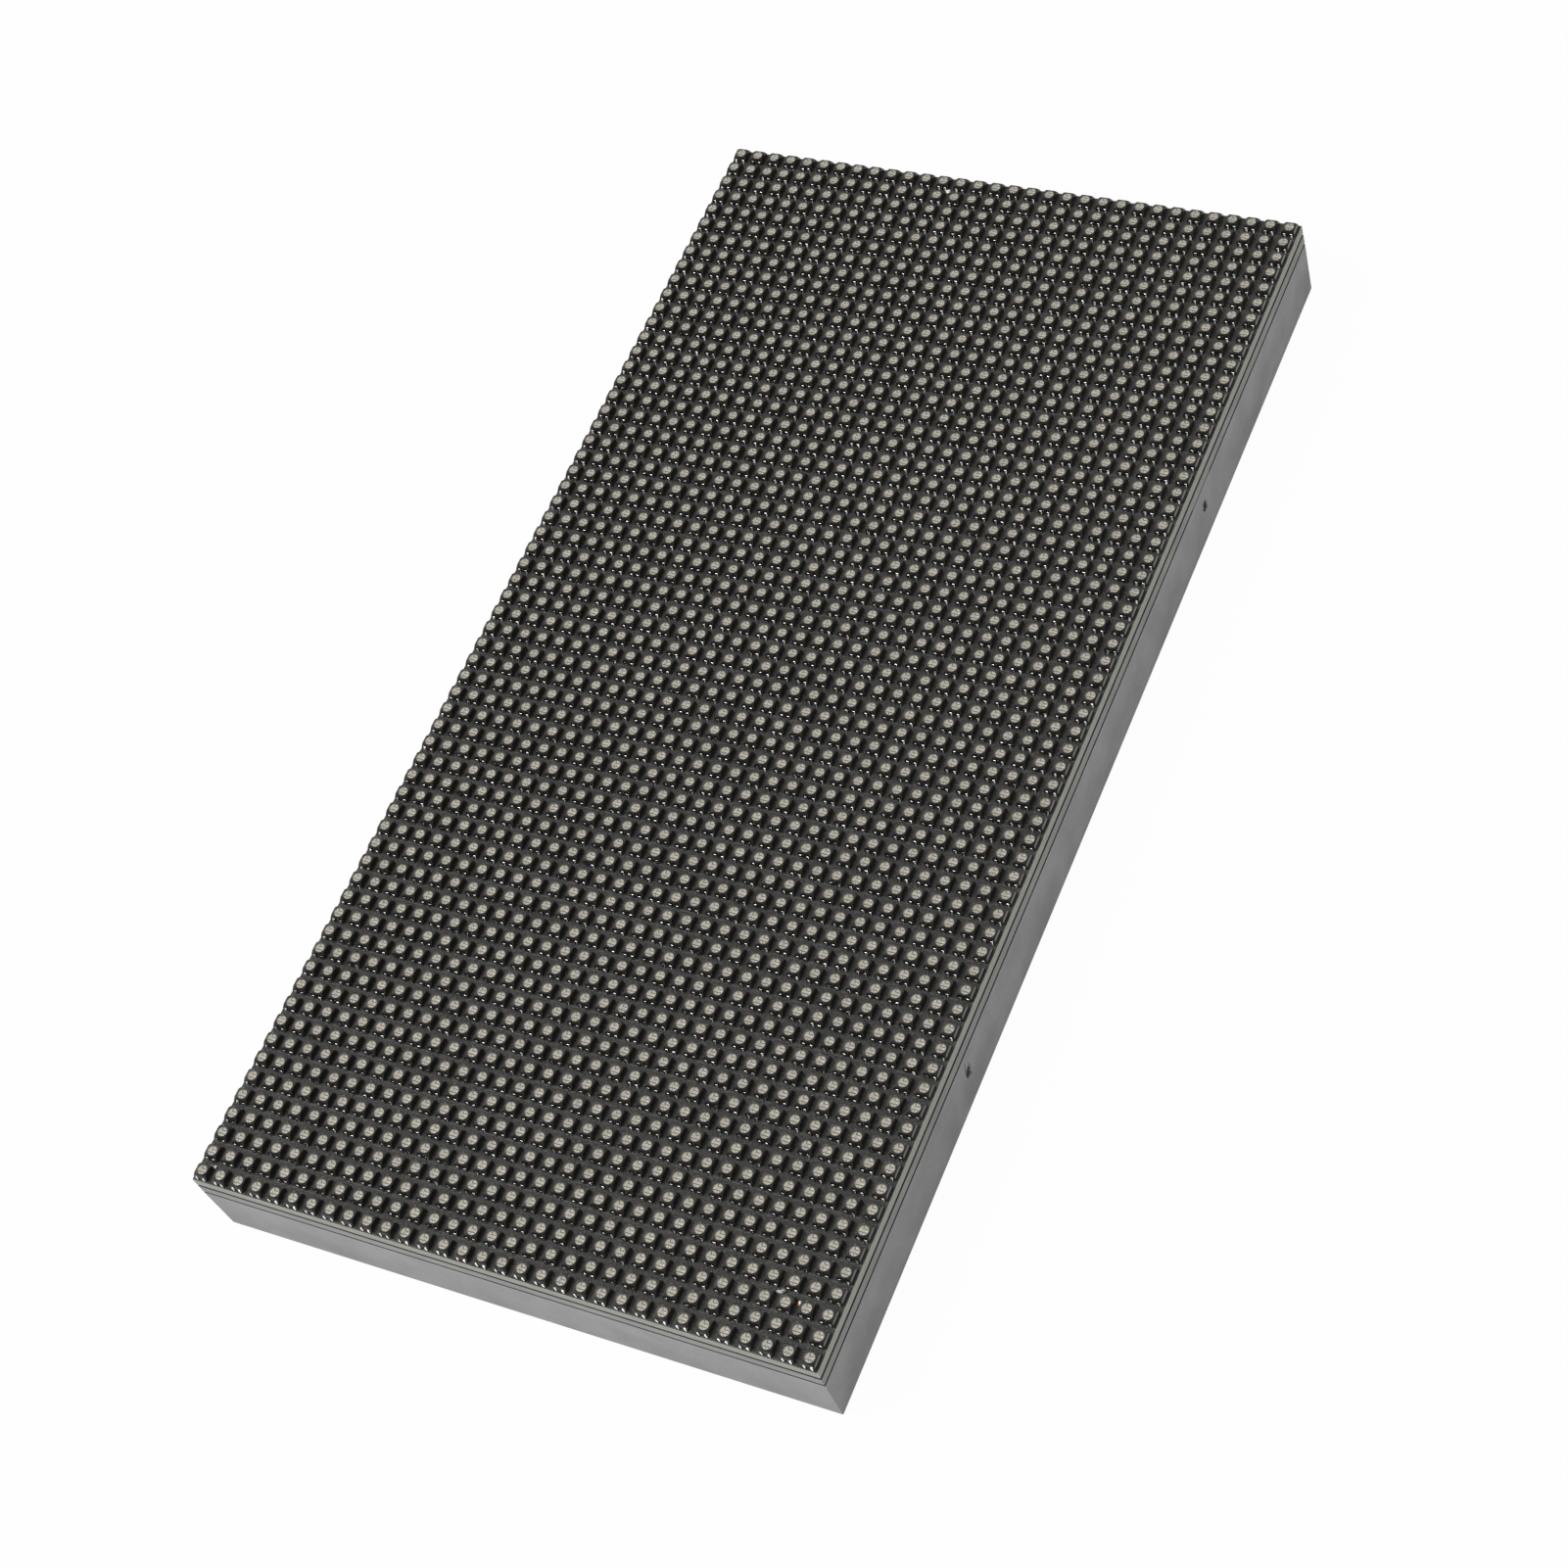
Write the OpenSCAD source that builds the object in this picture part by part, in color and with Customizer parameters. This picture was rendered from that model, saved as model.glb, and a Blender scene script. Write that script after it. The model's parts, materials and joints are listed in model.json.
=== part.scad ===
// RGB LED matrix panel: a black circuit board with a square grid of surface-mount
// LEDs on its face and their drivers on its back, screwed to a moulded rear frame.
// Millimetres. X runs along the panel, Y across it and Z out of the LED face.
// The origin is the centre of the plane that the rear frame stands on.

/* [Display] */
// Number of LED columns along the panel
columns = 64; // [64:16:96]
// Number of LED rows across the panel
rows = 32; // [32:16:48]
// Distance from one LED to the next
pitch = 3; // [2.8:0.1:3.6]
// Half of the hairline left between two panels that hang side by side
edge_gap = 0.1; // [0.05:0.05:0.3]

/* [LEDs] */
// Width of the square LED housing
led_w = 2.1; // [1.8:0.1:2.4]
// Height of the LED housing over the board
led_h = 1.05; // [0.8:0.05:1.5]
// Diameter of the round resin window in the housing
window_d = 1.45; // [1.2:0.05:1.7]
// How far the resin swells over the housing
window_h = 0.05; // [0.05:0.01:0.2]

/* [Board] */
// Thickness of the circuit board
board_t = 1.6; // [1:0.1:2]

/* [Frame] */
// Height of the moulded frame behind the board
frame_h = 12.3; // [12:0.1:16]
// Thickness of the face plate that the board lies on
plate_t = 2.05; // [1.5:0.05:2.5]
// Thickness of the outer wall
wall_t = 2; // [1.5:0.1:2.5]
// Thickness of the lip round each bay
lip_t = 1.6; // [1.2:0.1:2]
// Width of the border from the panel's edge to the bays
border_w = 10; // [9:0.5:12]
// Width of each bar between two bays
bar_w = 8; // [7:0.5:10]
// Corner radius of the bays
bay_r = 2; // [1:0.5:4]
// Thickness of the stiffening ribs
rib_t = 1.2; // [0.8:0.1:1.6]
// Distance from one rib to the next
rib_step = 16; // [12:1:24]
// How far the ribs stay back from the rear plane
rib_drop = 3; // [2:0.5:6]
// How far the outer wall leans in towards the rear
draft = 0.15; // [0.05:0.05:0.4]
// Height of the shadow gap between the board's edge and the face plate
gap_h = 0.35; // [0.2:0.05:0.6]
// Depth of the shadow gap
gap_d = 0.6; // [0.3:0.05:0.9]
// Height of the shadow groove under the face plate
groove_h = 0.35; // [0.2:0.05:0.6]
// Depth of the shadow groove
groove_d = 0.6; // [0.3:0.05:0.9]
// Length over which the groove stops over the second moulding gate
gate_land = 7.5; // [4:0.5:12]
// Height of the moulding gates over the rear plane
gate_z = 6.2; // [4:0.1:7]
// Width of the pit that a trimmed gate leaves
gate_w = 1.2; // [0.8:0.1:2]
// Height of that pit
gate_l = 1.8; // [1:0.1:3]
// Depth of that pit
gate_d = 0.25; // [0.1:0.05:0.5]

/* [Fasteners] */
// Distance of the threaded inserts from the panel's edges
insert_edge = 8; // [7:0.5:10]
// Outer diameter of a threaded insert
insert_d = 4.5; // [4:0.1:5]
// Length of a threaded insert
insert_l = 6; // [4:0.5:8]
// Bore of a threaded insert
insert_bore = 2.5; // [2:0.1:3]
// Diameter of the boss that holds an insert
insert_boss_d = 8; // [7:0.5:9]
// Diameter of a threaded stud soldered to the board
stud_d = 5; // [4:0.1:5.5]
// Length of a stud
stud_h = 4; // [3:0.5:5]
// Diameter of the boss round a stud
stud_boss_d = 9; // [8:0.5:10]
// Thickness of the boss floor that a screw clamps to the stud
clamp_t = 2; // [1.5:0.1:3]
// Diameter of a frame screw
screw_d = 2.5; // [2:0.1:3]
// Diameter of its pan head
screw_head_d = 4.7; // [4:0.1:5.2]
// Height of its pan head
screw_head_h = 1.8; // [1.4:0.1:2.2]
// Clearance round studs and pins
clearance = 0.1; // [0.05:0.01:0.2]
// Clearance round a frame screw in its hole
screw_play = 0.2; // [0.1:0.05:0.3]

/* [Connectors] */
// Contact pairs in each data header
data_pairs = 8; // [6:1:10]
// Contact spacing of a data header
data_pitch = 2.54; // [2:0.01:2.6]
// Height of a data header over the board
data_h = 9.1; // [8:0.1:9.5]
// Wall thickness of a data header
data_wall = 1.1; // [0.8:0.1:1.4]
// Distance of the data headers from the panel's ends
data_edge = 20; // [18:0.5:24]
// Contacts in the power header
power_ways = 4; // [2:1:4]
// Contact spacing of the power header
power_pitch = 3.96; // [3:0.02:4]
// Height of the power header's latch wall over the board
power_h = 9.4; // [8:0.1:10]

/* [Chips] */
// Length of a driver chip's body
driver_l = 8.65; // [7:0.05:10]
// Width of a driver chip's body
driver_w = 3.9; // [3:0.1:4.5]
// Height of a chip's body
chip_t = 1.5; // [1:0.1:1.8]
// Distance between the three driver chips of one LED bank
driver_step = 10; // [8:0.5:10]
// Distance from the panel's middle to the rows of driver chips
driver_y = 24; // [20:0.5:26]
// Diameter of an electrolytic capacitor's can
can_d = 6.3; // [5:0.1:7]
// Height of a capacitor over the board
can_h = 7.7; // [5.4:0.1:8.5]

/* [Hidden] */
$fn = 48;

// The LEDs are driven in two halves of four banks, sixteen columns by sixteen rows each.
halves = 2;
banks = 4;
panel_l = columns * pitch;
panel_w = rows * pitch;
outer_l = panel_l - 2 * edge_gap;
outer_w = panel_w - 2 * edge_gap;
face_z = frame_h + board_t;

// Bays of the frame, with a bar at each quarter of the panel's length
bar_x = panel_l / 4;
bay_w = panel_w - 2 * border_w;
mid_bay_l = 2 * bar_x - bar_w;
end_bay_l = panel_l / 2 - border_w - bar_x - bar_w / 2;
end_bay_x = bar_x + bar_w / 2 + end_bay_l / 2;

// Shadow groove and gates
groove_z = frame_h - plate_t - groove_h;
gate_channel_d = 0.5;
gate_channel_l = 0.8;
cut_over = 1;

// Inserts: four at the corners and two at the middle of the long sides
insert_x = panel_l / 2 - insert_edge;
insert_y = panel_w / 2 - insert_edge;
insert_places = [for (x = [-insert_x, 0, insert_x], y = [-insert_y, insert_y]) [x, y]];
insert_sink = 0.2;
insert_groove = 0.25;
insert_groove_w = 0.6;
insert_chamfer = 0.3;
press_gap = 0.01;

// Screws: four in the long borders, two in the bars and two in the end borders
screw_x = panel_l / 8;
screw_places = concat(
    [for (x = [-screw_x, screw_x], y = [-1, 1]) [x, y * (panel_w - border_w) / 2]],
    [for (x = [-bar_x, bar_x]) [x, 0]],
    [for (s = [-1, 1]) [s * (panel_l - border_w) / 2, 0]]
);
boss_drop = 1;
stud_cap = 0.8;
clamp_z = frame_h - stud_h - clearance - clamp_t;
screw_tip_gap = 0.3;
screw_l = clamp_t + clearance + stud_h - stud_cap - screw_tip_gap;
head_room = 0.4;
recess_l = 2.6;
recess_w = 0.7;
recess_d = 1;

// Data headers: a box with two rows of square contacts
data_end = 3.8;
data_side = 1.9;
data_l = data_pairs * data_pitch + 2 * data_end;
data_w = 2 * data_pitch + 2 * data_side;
data_floor = 2.4;
data_key_w = 4.5;
data_contact = 0.64;
data_tip_gap = 1.2;
data_x = panel_l / 2 - data_edge;
foot_t = 0.5;
foot_reach = 1.3;

// Power header: a base with heavy contacts and one latch wall
power_end = 1.95;
power_l = (power_ways - 1) * power_pitch + 2 * power_end;
power_w = 8.5;
power_base = 3.2;
power_latch = 1.2;
power_lip = 0.6;
power_contact = 1.14;
power_tip_gap = 1;

// Chips and passive parts
chip_lift = 0.1;
chip_slope = 0.15;
dot_d = 0.8;
dot_inset = 1;
dot_depth = 0.08;
row_switch_l = 4.9;
row_switch_step = 10;
row_switch_y = 7;
decoder_l = 9.9;
decoder_y = 8;
buffer_l = 6.5;
buffer_w = 4.4;
buffer_t = 1.1;
buffer_step = 10;
logic_gap = 8;
logic_x = bar_x + bar_w / 2 + logic_gap;
can_base_over = 0.3;
can_base = can_d + can_base_over;
can_base_t = 1;
can_base_cut = 1.4;
can_round = 0.6;
can_waist = 0.35;
can_waist_h = 0.35;
can_x = 16;
can_y = 5;
ceramic = [2, 1.25, 1];
resistor = [1.6, 0.8, 0.45];
part_gap = 2;

// Driver chips: three beside each other for each bank, in the bays behind it
bank_x = [-end_bay_x, -mid_bay_l / 4, mid_bay_l / 4, end_bay_x];
driver_places = [
    for (x = bank_x, i = [-1:1], s = [-1, 1]) [x + i * driver_step, s * driver_y]
];

// Shared shapes

module rounded_rect(l, w, r) {
    square([l - 2 * r, w], center = true);
    square([l, w - 2 * r], center = true);
    for (x = [-1, 1], y = [-1, 1])
        translate([x * (l / 2 - r), y * (w / 2 - r)])
            circle(r);
}

// Puts a part on the board's back, with its own Z pointing away from the board
module on_back(place, turn = 0) {
    translate([place[0], place[1], frame_h])
        rotate([180, 0, turn])
            children();
}

module centred_box(size, z = 0) {
    translate([-size[0] / 2, -size[1] / 2, z])
        cube(size);
}

// A moulded chip body, widest at its parting line, with a dimple at contact one
module chip_body(l, w, t) {
    difference() {
        translate([0, 0, chip_lift])
            intersection() {
                rotate([90, 0, 0])
                    linear_extrude(w, center = true)
                        chip_profile(l, t);
                rotate([90, 0, 90])
                    linear_extrude(l, center = true)
                        chip_profile(w, t);
            }
        translate([l / 2 - dot_inset, w / 2 - dot_inset, chip_lift + t - dot_depth])
            cylinder(d = dot_d, h = dot_depth + cut_over);
    }
}

module chip_profile(span, t) {
    narrow = span / 2 - chip_slope;
    polygon([
        [-narrow, 0], [narrow, 0], [span / 2, t / 2],
        [narrow, t], [-narrow, t], [-span / 2, t / 2]
    ]);
}

// The board and the LEDs

module led_board() {
    color([0.09, 0.1, 0.1])
        centred_box([outer_l, outer_w, board_t], frame_h);
}

// Repeats its child over one bank of LEDs; half 0 is the lower one
module over_bank(half, bank) {
    bank_columns = columns / banks;
    bank_rows = rows / halves;
    for (c = [0:bank_columns - 1])
        translate([(bank * bank_columns + c - (columns - 1) / 2) * pitch, 0, face_z])
            for (r = [0:bank_rows - 1])
                translate([0, (half * bank_rows + r - (rows - 1) / 2) * pitch, 0])
                    children();
}

module led_bank(half, bank) {
    color([0.16, 0.16, 0.17])
        over_bank(half, bank)
            centred_box([led_w, led_w, led_h]);
}

module window_bank(half, bank) {
    color([0.72, 0.69, 0.6])
        over_bank(half, bank)
            translate([0, 0, led_h])
                cylinder(d = window_d, h = window_h);
}

// The moulded rear frame

module bay_outlines(grow = 0) {
    r = bay_r + grow;
    rounded_rect(mid_bay_l + 2 * grow, bay_w + 2 * grow, r);
    for (s = [-1, 1])
        translate([s * end_bay_x, 0])
            rounded_rect(end_bay_l + 2 * grow, bay_w + 2 * grow, r);
}

module frame_outline(inset = 0) {
    square([outer_l - 2 * inset, outer_w - 2 * inset], center = true);
}

module plate_outline() {
    difference() {
        frame_outline();
        bay_outlines();
    }
}

module wall_outline() {
    difference() {
        frame_outline();
        frame_outline(wall_t);
    }
    difference() {
        bay_outlines(lip_t);
        bay_outlines();
    }
}

module rib_outline() {
    along = floor((panel_l / 2 - border_w) / rib_step);
    across = floor((panel_w / 2 - border_w) / rib_step);
    intersection() {
        plate_outline();
        union() {
            for (i = [-along:along])
                translate([i * rib_step, 0])
                    square([rib_t, outer_w], center = true);
            for (i = [-across:across])
                translate([0, i * rib_step])
                    square([outer_l, rib_t], center = true);
        }
    }
}

module frame_bosses() {
    for (p = insert_places)
        translate(p)
            cylinder(d = insert_boss_d, h = frame_h);
    for (p = screw_places)
        translate([p[0], p[1], boss_drop])
            cylinder(d = stud_boss_d, h = frame_h - boss_drop);
}

module frame_bores() {
    for (p = insert_places)
        translate([p[0], p[1], -cut_over])
            cylinder(d = insert_d + 2 * press_gap, h = cut_over + 2 * insert_sink + insert_l);
    for (p = screw_places) {
        translate([p[0], p[1], -cut_over])
            cylinder(d = screw_head_d + 2 * head_room, h = cut_over + clamp_z);
        translate([p[0], p[1], 0])
            cylinder(d = screw_d + 2 * screw_play, h = frame_h);
        translate([p[0], p[1], clamp_z + clamp_t])
            cylinder(d = stud_d + 2 * clearance, h = frame_h);
    }
}

module slot_outline(depth) {
    difference() {
        frame_outline(-cut_over);
        frame_outline(depth);
    }
}

// The groove runs round the outer wall and stops over one gate of the front wall
module groove_outline() {
    difference() {
        slot_outline(groove_d);
        translate([bar_x, -panel_w / 2])
            square([gate_land, 2 * wall_t], center = true);
    }
}

// Wedge that leans one outer wall in from the groove down to the rear plane
module draft_wedge(reach, run) {
    low = -cut_over;
    lean = draft * (groove_z - low) / groove_z;
    rotate([90, 0, 90])
        linear_extrude(run, center = true)
            polygon([
                [-reach, groove_z], [-reach + lean, low],
                [-reach - cut_over, low], [-reach - cut_over, groove_z]
            ]);
}

// Each trimmed gate leaves a shallow pit in the front wall, with the end of its channel in it
module gate_pits() {
    for (s = [-1, 1])
        translate([s * bar_x, -outer_w / 2, gate_z]) {
            cube([gate_w, 2 * (draft + gate_d), gate_l], center = true);
            translate([-s * gate_w / 4, 0, -gate_l / 3])
                rotate([90, 0, 0])
                    cylinder(d = gate_channel_d, h = 2 * gate_channel_l, center = true);
        }
}

module rear_frame() {
    color([0.42, 0.42, 0.43])
        difference() {
            union() {
                translate([0, 0, frame_h - plate_t])
                    linear_extrude(plate_t)
                        plate_outline();
                linear_extrude(frame_h)
                    wall_outline();
                translate([0, 0, rib_drop])
                    linear_extrude(frame_h - rib_drop)
                        rib_outline();
                frame_bosses();
            }
            frame_bores();
            gate_pits();
            translate([0, 0, groove_z])
                linear_extrude(groove_h)
                    groove_outline();
            translate([0, 0, frame_h - gap_h])
                linear_extrude(gap_h + cut_over)
                    slot_outline(gap_d);
            for (turn = [0, 180]) {
                rotate([0, 0, turn])
                    draft_wedge(outer_w / 2, panel_l + cut_over);
                rotate([0, 0, turn + 90])
                    draft_wedge(outer_l / 2, panel_w + cut_over);
            }
        }
}

// Fasteners

module threaded_inserts() {
    r = insert_d / 2;
    low = (insert_l - insert_groove_w) / 2;
    high = (insert_l + insert_groove_w) / 2;
    color([0.8, 0.63, 0.28])
        for (p = insert_places)
            translate([p[0], p[1], insert_sink])
                rotate_extrude()
                    polygon([
                        [insert_bore / 2, 0],
                        [r - insert_chamfer, 0],
                        [r, insert_chamfer],
                        [r, low - insert_groove],
                        [r - insert_groove, low],
                        [r - insert_groove, high],
                        [r, high + insert_groove],
                        [r, insert_l - insert_chamfer],
                        [r - insert_chamfer, insert_l],
                        [insert_bore / 2, insert_l]
                    ]);
}

module board_studs() {
    color([0.8, 0.66, 0.33])
        for (p = screw_places)
            translate([p[0], p[1], frame_h - stud_h])
                difference() {
                    cylinder(d = stud_d, h = stud_h);
                    translate([0, 0, -cut_over])
                        cylinder(d = screw_d + clearance, h = cut_over + stud_h - stud_cap);
                }
}

// A pan head with a cross recess, on a plain shank
module frame_screw() {
    difference() {
        union() {
            rotate_extrude()
                intersection() {
                    translate([0, -screw_head_h])
                        square([screw_head_d / 2, screw_head_h]);
                    translate([0, screw_head_d - screw_head_h])
                        circle(screw_head_d);
                }
            cylinder(d = screw_d, h = screw_l);
        }
        for (turn = [0, 90])
            rotate([0, 0, turn])
                centred_box([recess_l, recess_w, recess_d + cut_over], -screw_head_h - cut_over);
    }
}

module frame_screws() {
    color([0.2, 0.2, 0.21])
        for (p = screw_places)
            translate([p[0], p[1], clamp_z])
                frame_screw();
}

// Connectors

function data_pin_places() = [
    for (i = [0:data_pairs - 1], s = [-1, 1])
        [s * data_pitch / 2, (i - (data_pairs - 1) / 2) * data_pitch]
];

// An open box on two end feet, with a key slot in one long wall
module data_header(x) {
    lift = foot_t + clearance;
    contact_hole = data_contact + 2 * clearance;
    color([0.1, 0.1, 0.1])
        on_back([x, 0])
            difference() {
                union() {
                    centred_box([data_w, data_l, data_h - lift], lift);
                    for (s = [-1, 1])
                        translate([0, s * (data_l - data_end / 2) / 2, 0])
                            centred_box([data_w, data_end / 2, lift + clearance]);
                }
                centred_box(
                    [data_w - 2 * data_wall, data_l - 2 * data_wall, data_h],
                    lift + data_floor
                );
                translate([data_w / 2, 0, lift + data_floor])
                    centred_box([2 * data_wall + cut_over, data_key_w, data_h]);
                for (p = data_pin_places())
                    translate([p[0], p[1], 0])
                        centred_box([contact_hole, contact_hole, data_h]);
            }
}

// Square contacts that turn outwards into feet on the board
module data_pins(x) {
    foot_l = (data_w - data_pitch) / 2 + foot_reach;
    color([0.85, 0.72, 0.35])
        on_back([x, 0])
            for (p = data_pin_places())
                translate([p[0], p[1], 0]) {
                    centred_box([data_contact, data_contact, data_h - data_tip_gap]);
                    translate([sign(p[0]) * foot_l / 2, 0, 0])
                        centred_box([foot_l, data_contact, foot_t]);
                }
}

function power_pin_x(i) = (i - (power_ways - 1) / 2) * power_pitch;

module power_header() {
    lift = foot_t + clearance;
    contact_hole = power_contact + 2 * clearance;
    color([0.93, 0.92, 0.88])
        on_back([0, 0])
            difference() {
                union() {
                    centred_box([power_l, power_w, power_base], lift);
                    for (s = [-1, 1])
                        translate([s * (power_l - power_end / 2) / 2, 0, 0])
                            centred_box([power_end / 2, power_w, lift + clearance]);
                    translate([0, (power_w - power_latch) / 2, 0])
                        centred_box([power_l, power_latch, power_h - lift], lift);
                    translate([0, power_w / 2 - power_latch, power_h - power_latch])
                        centred_box([power_l / 2, 2 * power_lip, power_latch]);
                }
                for (i = [0:power_ways - 1])
                    translate([power_pin_x(i), 0, 0])
                        centred_box([contact_hole, contact_hole, power_h]);
            }
}

module power_pins() {
    foot_l = power_w / 2 + foot_reach;
    color([0.78, 0.78, 0.76])
        on_back([0, 0])
            for (i = [0:power_ways - 1])
                translate([power_pin_x(i), 0, 0]) {
                    centred_box([power_contact, power_contact, power_h - power_tip_gap]);
                    translate([0, -foot_l / 2, 0])
                        centred_box([power_contact, foot_l, foot_t]);
                }
}

// Chips and passive parts

module driver_chips() {
    color([0.08, 0.08, 0.08])
        for (p = driver_places)
            on_back(p, 90)
                chip_body(driver_l, driver_w, chip_t);
}

module row_switch_chips() {
    color([0.08, 0.08, 0.08])
        for (s = [-1, 1], i = [-0.5, 0.5], y = [-1, 1])
            on_back([s * (bar_x - bar_w / 2 - row_switch_step) + i * row_switch_step, y * row_switch_y])
                chip_body(row_switch_l, driver_w, chip_t);
}

module row_decoder_chips() {
    color([0.08, 0.08, 0.08])
        for (y = [-1, 1])
            on_back([logic_x, y * decoder_y], 90)
                chip_body(decoder_l, driver_w, chip_t);
}

module line_buffer_chips() {
    color([0.08, 0.08, 0.08])
        for (i = [-1:1])
            on_back([-logic_x, i * buffer_step], 90)
                chip_body(buffer_l, buffer_w, buffer_t);
}

function can_places() = [for (x = [-can_x, can_x], y = [-can_y, can_y]) [x, y]];

// An aluminium can with a rounded shoulder and a crimped waist over its base
module capacitor_cans() {
    r = can_d / 2;
    shoulder = can_h - can_round;
    drum = can_base_t + 2 * can_waist_h;
    color([0.78, 0.78, 0.8])
        for (p = can_places())
            on_back(p)
                rotate_extrude() {
                    translate([0, can_base_t])
                        square([r, can_waist_h]);
                    translate([0, can_base_t])
                        square([r - can_waist, shoulder - can_base_t]);
                    translate([0, drum])
                        square([r, shoulder - drum]);
                    translate([0, drum])
                        square([r - can_round, can_h - drum]);
                    translate([r - can_round, shoulder])
                        circle(can_round);
                }
}

// A square plastic foot with two cut corners that mark the polarity
module capacitor_bases() {
    half = can_base / 2;
    color([0.06, 0.06, 0.06])
        for (p = can_places())
            on_back(p)
                linear_extrude(can_base_t)
                    polygon([
                        [-half, -half], [half - can_base_cut, -half], [half, can_base_cut - half],
                        [half, half - can_base_cut], [half - can_base_cut, half], [-half, half]
                    ]);
}

module ceramic_capacitors() {
    color([0.72, 0.58, 0.42])
        for (p = driver_places)
            on_back([p[0], p[1] + sign(p[1]) * (driver_l / 2 + part_gap)])
                centred_box(ceramic);
}

module set_resistors() {
    color([0.1, 0.1, 0.11])
        for (p = driver_places)
            on_back([p[0], p[1] - sign(p[1]) * (driver_l / 2 + part_gap)])
                centred_box(resistor);
}

led_board();
led_bank(1, 0);  // leds_upper_1
led_bank(1, 1);  // leds_upper_2
led_bank(1, 2);  // leds_upper_3
led_bank(1, 3);  // leds_upper_4
led_bank(0, 0);  // leds_lower_1
led_bank(0, 1);  // leds_lower_2
led_bank(0, 2);  // leds_lower_3
led_bank(0, 3);  // leds_lower_4
window_bank(1, 0);  // windows_upper_1
window_bank(1, 1);  // windows_upper_2
window_bank(1, 2);  // windows_upper_3
window_bank(1, 3);  // windows_upper_4
window_bank(0, 0);  // windows_lower_1
window_bank(0, 1);  // windows_lower_2
window_bank(0, 2);  // windows_lower_3
window_bank(0, 3);  // windows_lower_4
rear_frame();
threaded_inserts();
board_studs();
frame_screws();
data_header(-data_x);  // data_header_in
data_pins(-data_x);  // data_pins_in
data_header(data_x);  // data_header_out
data_pins(data_x);  // data_pins_out
power_header();
power_pins();
driver_chips();
row_switch_chips();
row_decoder_chips();
line_buffer_chips();
capacitor_cans();
capacitor_bases();
ceramic_capacitors();
set_resistors();
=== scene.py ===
# Dresses the RGB LED matrix panel: LEDs, solder joints, leads, finishes and the stage round it.
# Metres. X runs along the panel, Y across it and Z out of the LED face.
import json
import math

import bmesh
import bpy
from bpy.props import FloatProperty, FloatVectorProperty, IntProperty, PointerProperty
from mathutils import Matrix, Vector, noise


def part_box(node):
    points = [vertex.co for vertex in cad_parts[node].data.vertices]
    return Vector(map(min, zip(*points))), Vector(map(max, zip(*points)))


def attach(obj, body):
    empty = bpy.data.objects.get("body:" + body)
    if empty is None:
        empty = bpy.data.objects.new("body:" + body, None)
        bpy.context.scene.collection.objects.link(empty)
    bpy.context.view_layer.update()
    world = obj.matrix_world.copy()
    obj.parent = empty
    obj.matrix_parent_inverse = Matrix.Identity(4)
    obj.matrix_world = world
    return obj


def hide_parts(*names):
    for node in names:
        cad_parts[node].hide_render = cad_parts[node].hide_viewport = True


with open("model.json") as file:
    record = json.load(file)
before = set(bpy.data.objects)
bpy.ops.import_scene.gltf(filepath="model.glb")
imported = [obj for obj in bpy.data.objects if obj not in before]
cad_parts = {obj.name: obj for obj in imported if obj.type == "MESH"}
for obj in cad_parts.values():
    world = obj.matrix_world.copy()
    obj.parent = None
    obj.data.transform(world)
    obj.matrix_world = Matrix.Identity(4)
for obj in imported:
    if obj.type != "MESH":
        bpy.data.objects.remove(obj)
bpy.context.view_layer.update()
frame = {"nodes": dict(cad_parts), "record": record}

bl_info = {
    "name": "LED panel dresser",
    "version": (1, 0, 0),
    "blender": (4, 5, 0),
    "location": "3D View > Sidebar > LED panel",
    "description": "Builds the finished surfaces of an LED matrix panel round its solids",
    "category": "Object",
}

MM = 0.001
MERGE = 0.002 * MM
FLAT = math.radians(1)
SHARP = math.radians(40)
QUARTER = math.pi / 2
UPSIDE_DOWN = (math.pi, 0, 0)
# A face whose normal is nearer than this to Z counts as level
LEVEL_FACE = 0.99
# Range that holds most of what a noise node gives
NOISE_RANGE = (0.3, 0.7)
BANKS = [f"{half}_{bank}" for half in ("upper", "lower") for bank in range(1, 5)]
HOUSING_NODES = [f"leds_{bank}" for bank in BANKS]
WINDOW_NODES = [f"windows_{bank}" for bank in BANKS]


# Settings

def length(name, description, mm):
    """A size that a user may change, given in millimetres"""
    return FloatProperty(
        name=name, description=description, default=mm * MM, precision=5,
        subtype="DISTANCE", unit="LENGTH",
    )


def point(name, description, mm):
    """A point that a user may change, given in millimetres"""
    return FloatVectorProperty(
        name=name, description=description, default=[v * MM for v in mm], size=3,
        subtype="TRANSLATION", unit="LENGTH",
    )


def power(name, description, watts):
    """A lamp's power that a user may change"""
    return FloatProperty(name=name, description=description, default=watts, min=0, unit="POWER")


def share(name, description, value):
    """A number from 0 to 1 that a user may change"""
    return FloatProperty(
        name=name, description=description, default=value, min=0, max=1, subtype="FACTOR",
    )


def angle(name, description, degrees):
    """An angle that a user may change, given in degrees"""
    return FloatProperty(
        name=name, description=description, default=math.radians(degrees), subtype="ANGLE",
    )


def colour(name, description, value):
    """A colour that a user may change"""
    return FloatVectorProperty(
        name=name, description=description, default=value, size=3, min=0, max=1, subtype="COLOR",
    )


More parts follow.
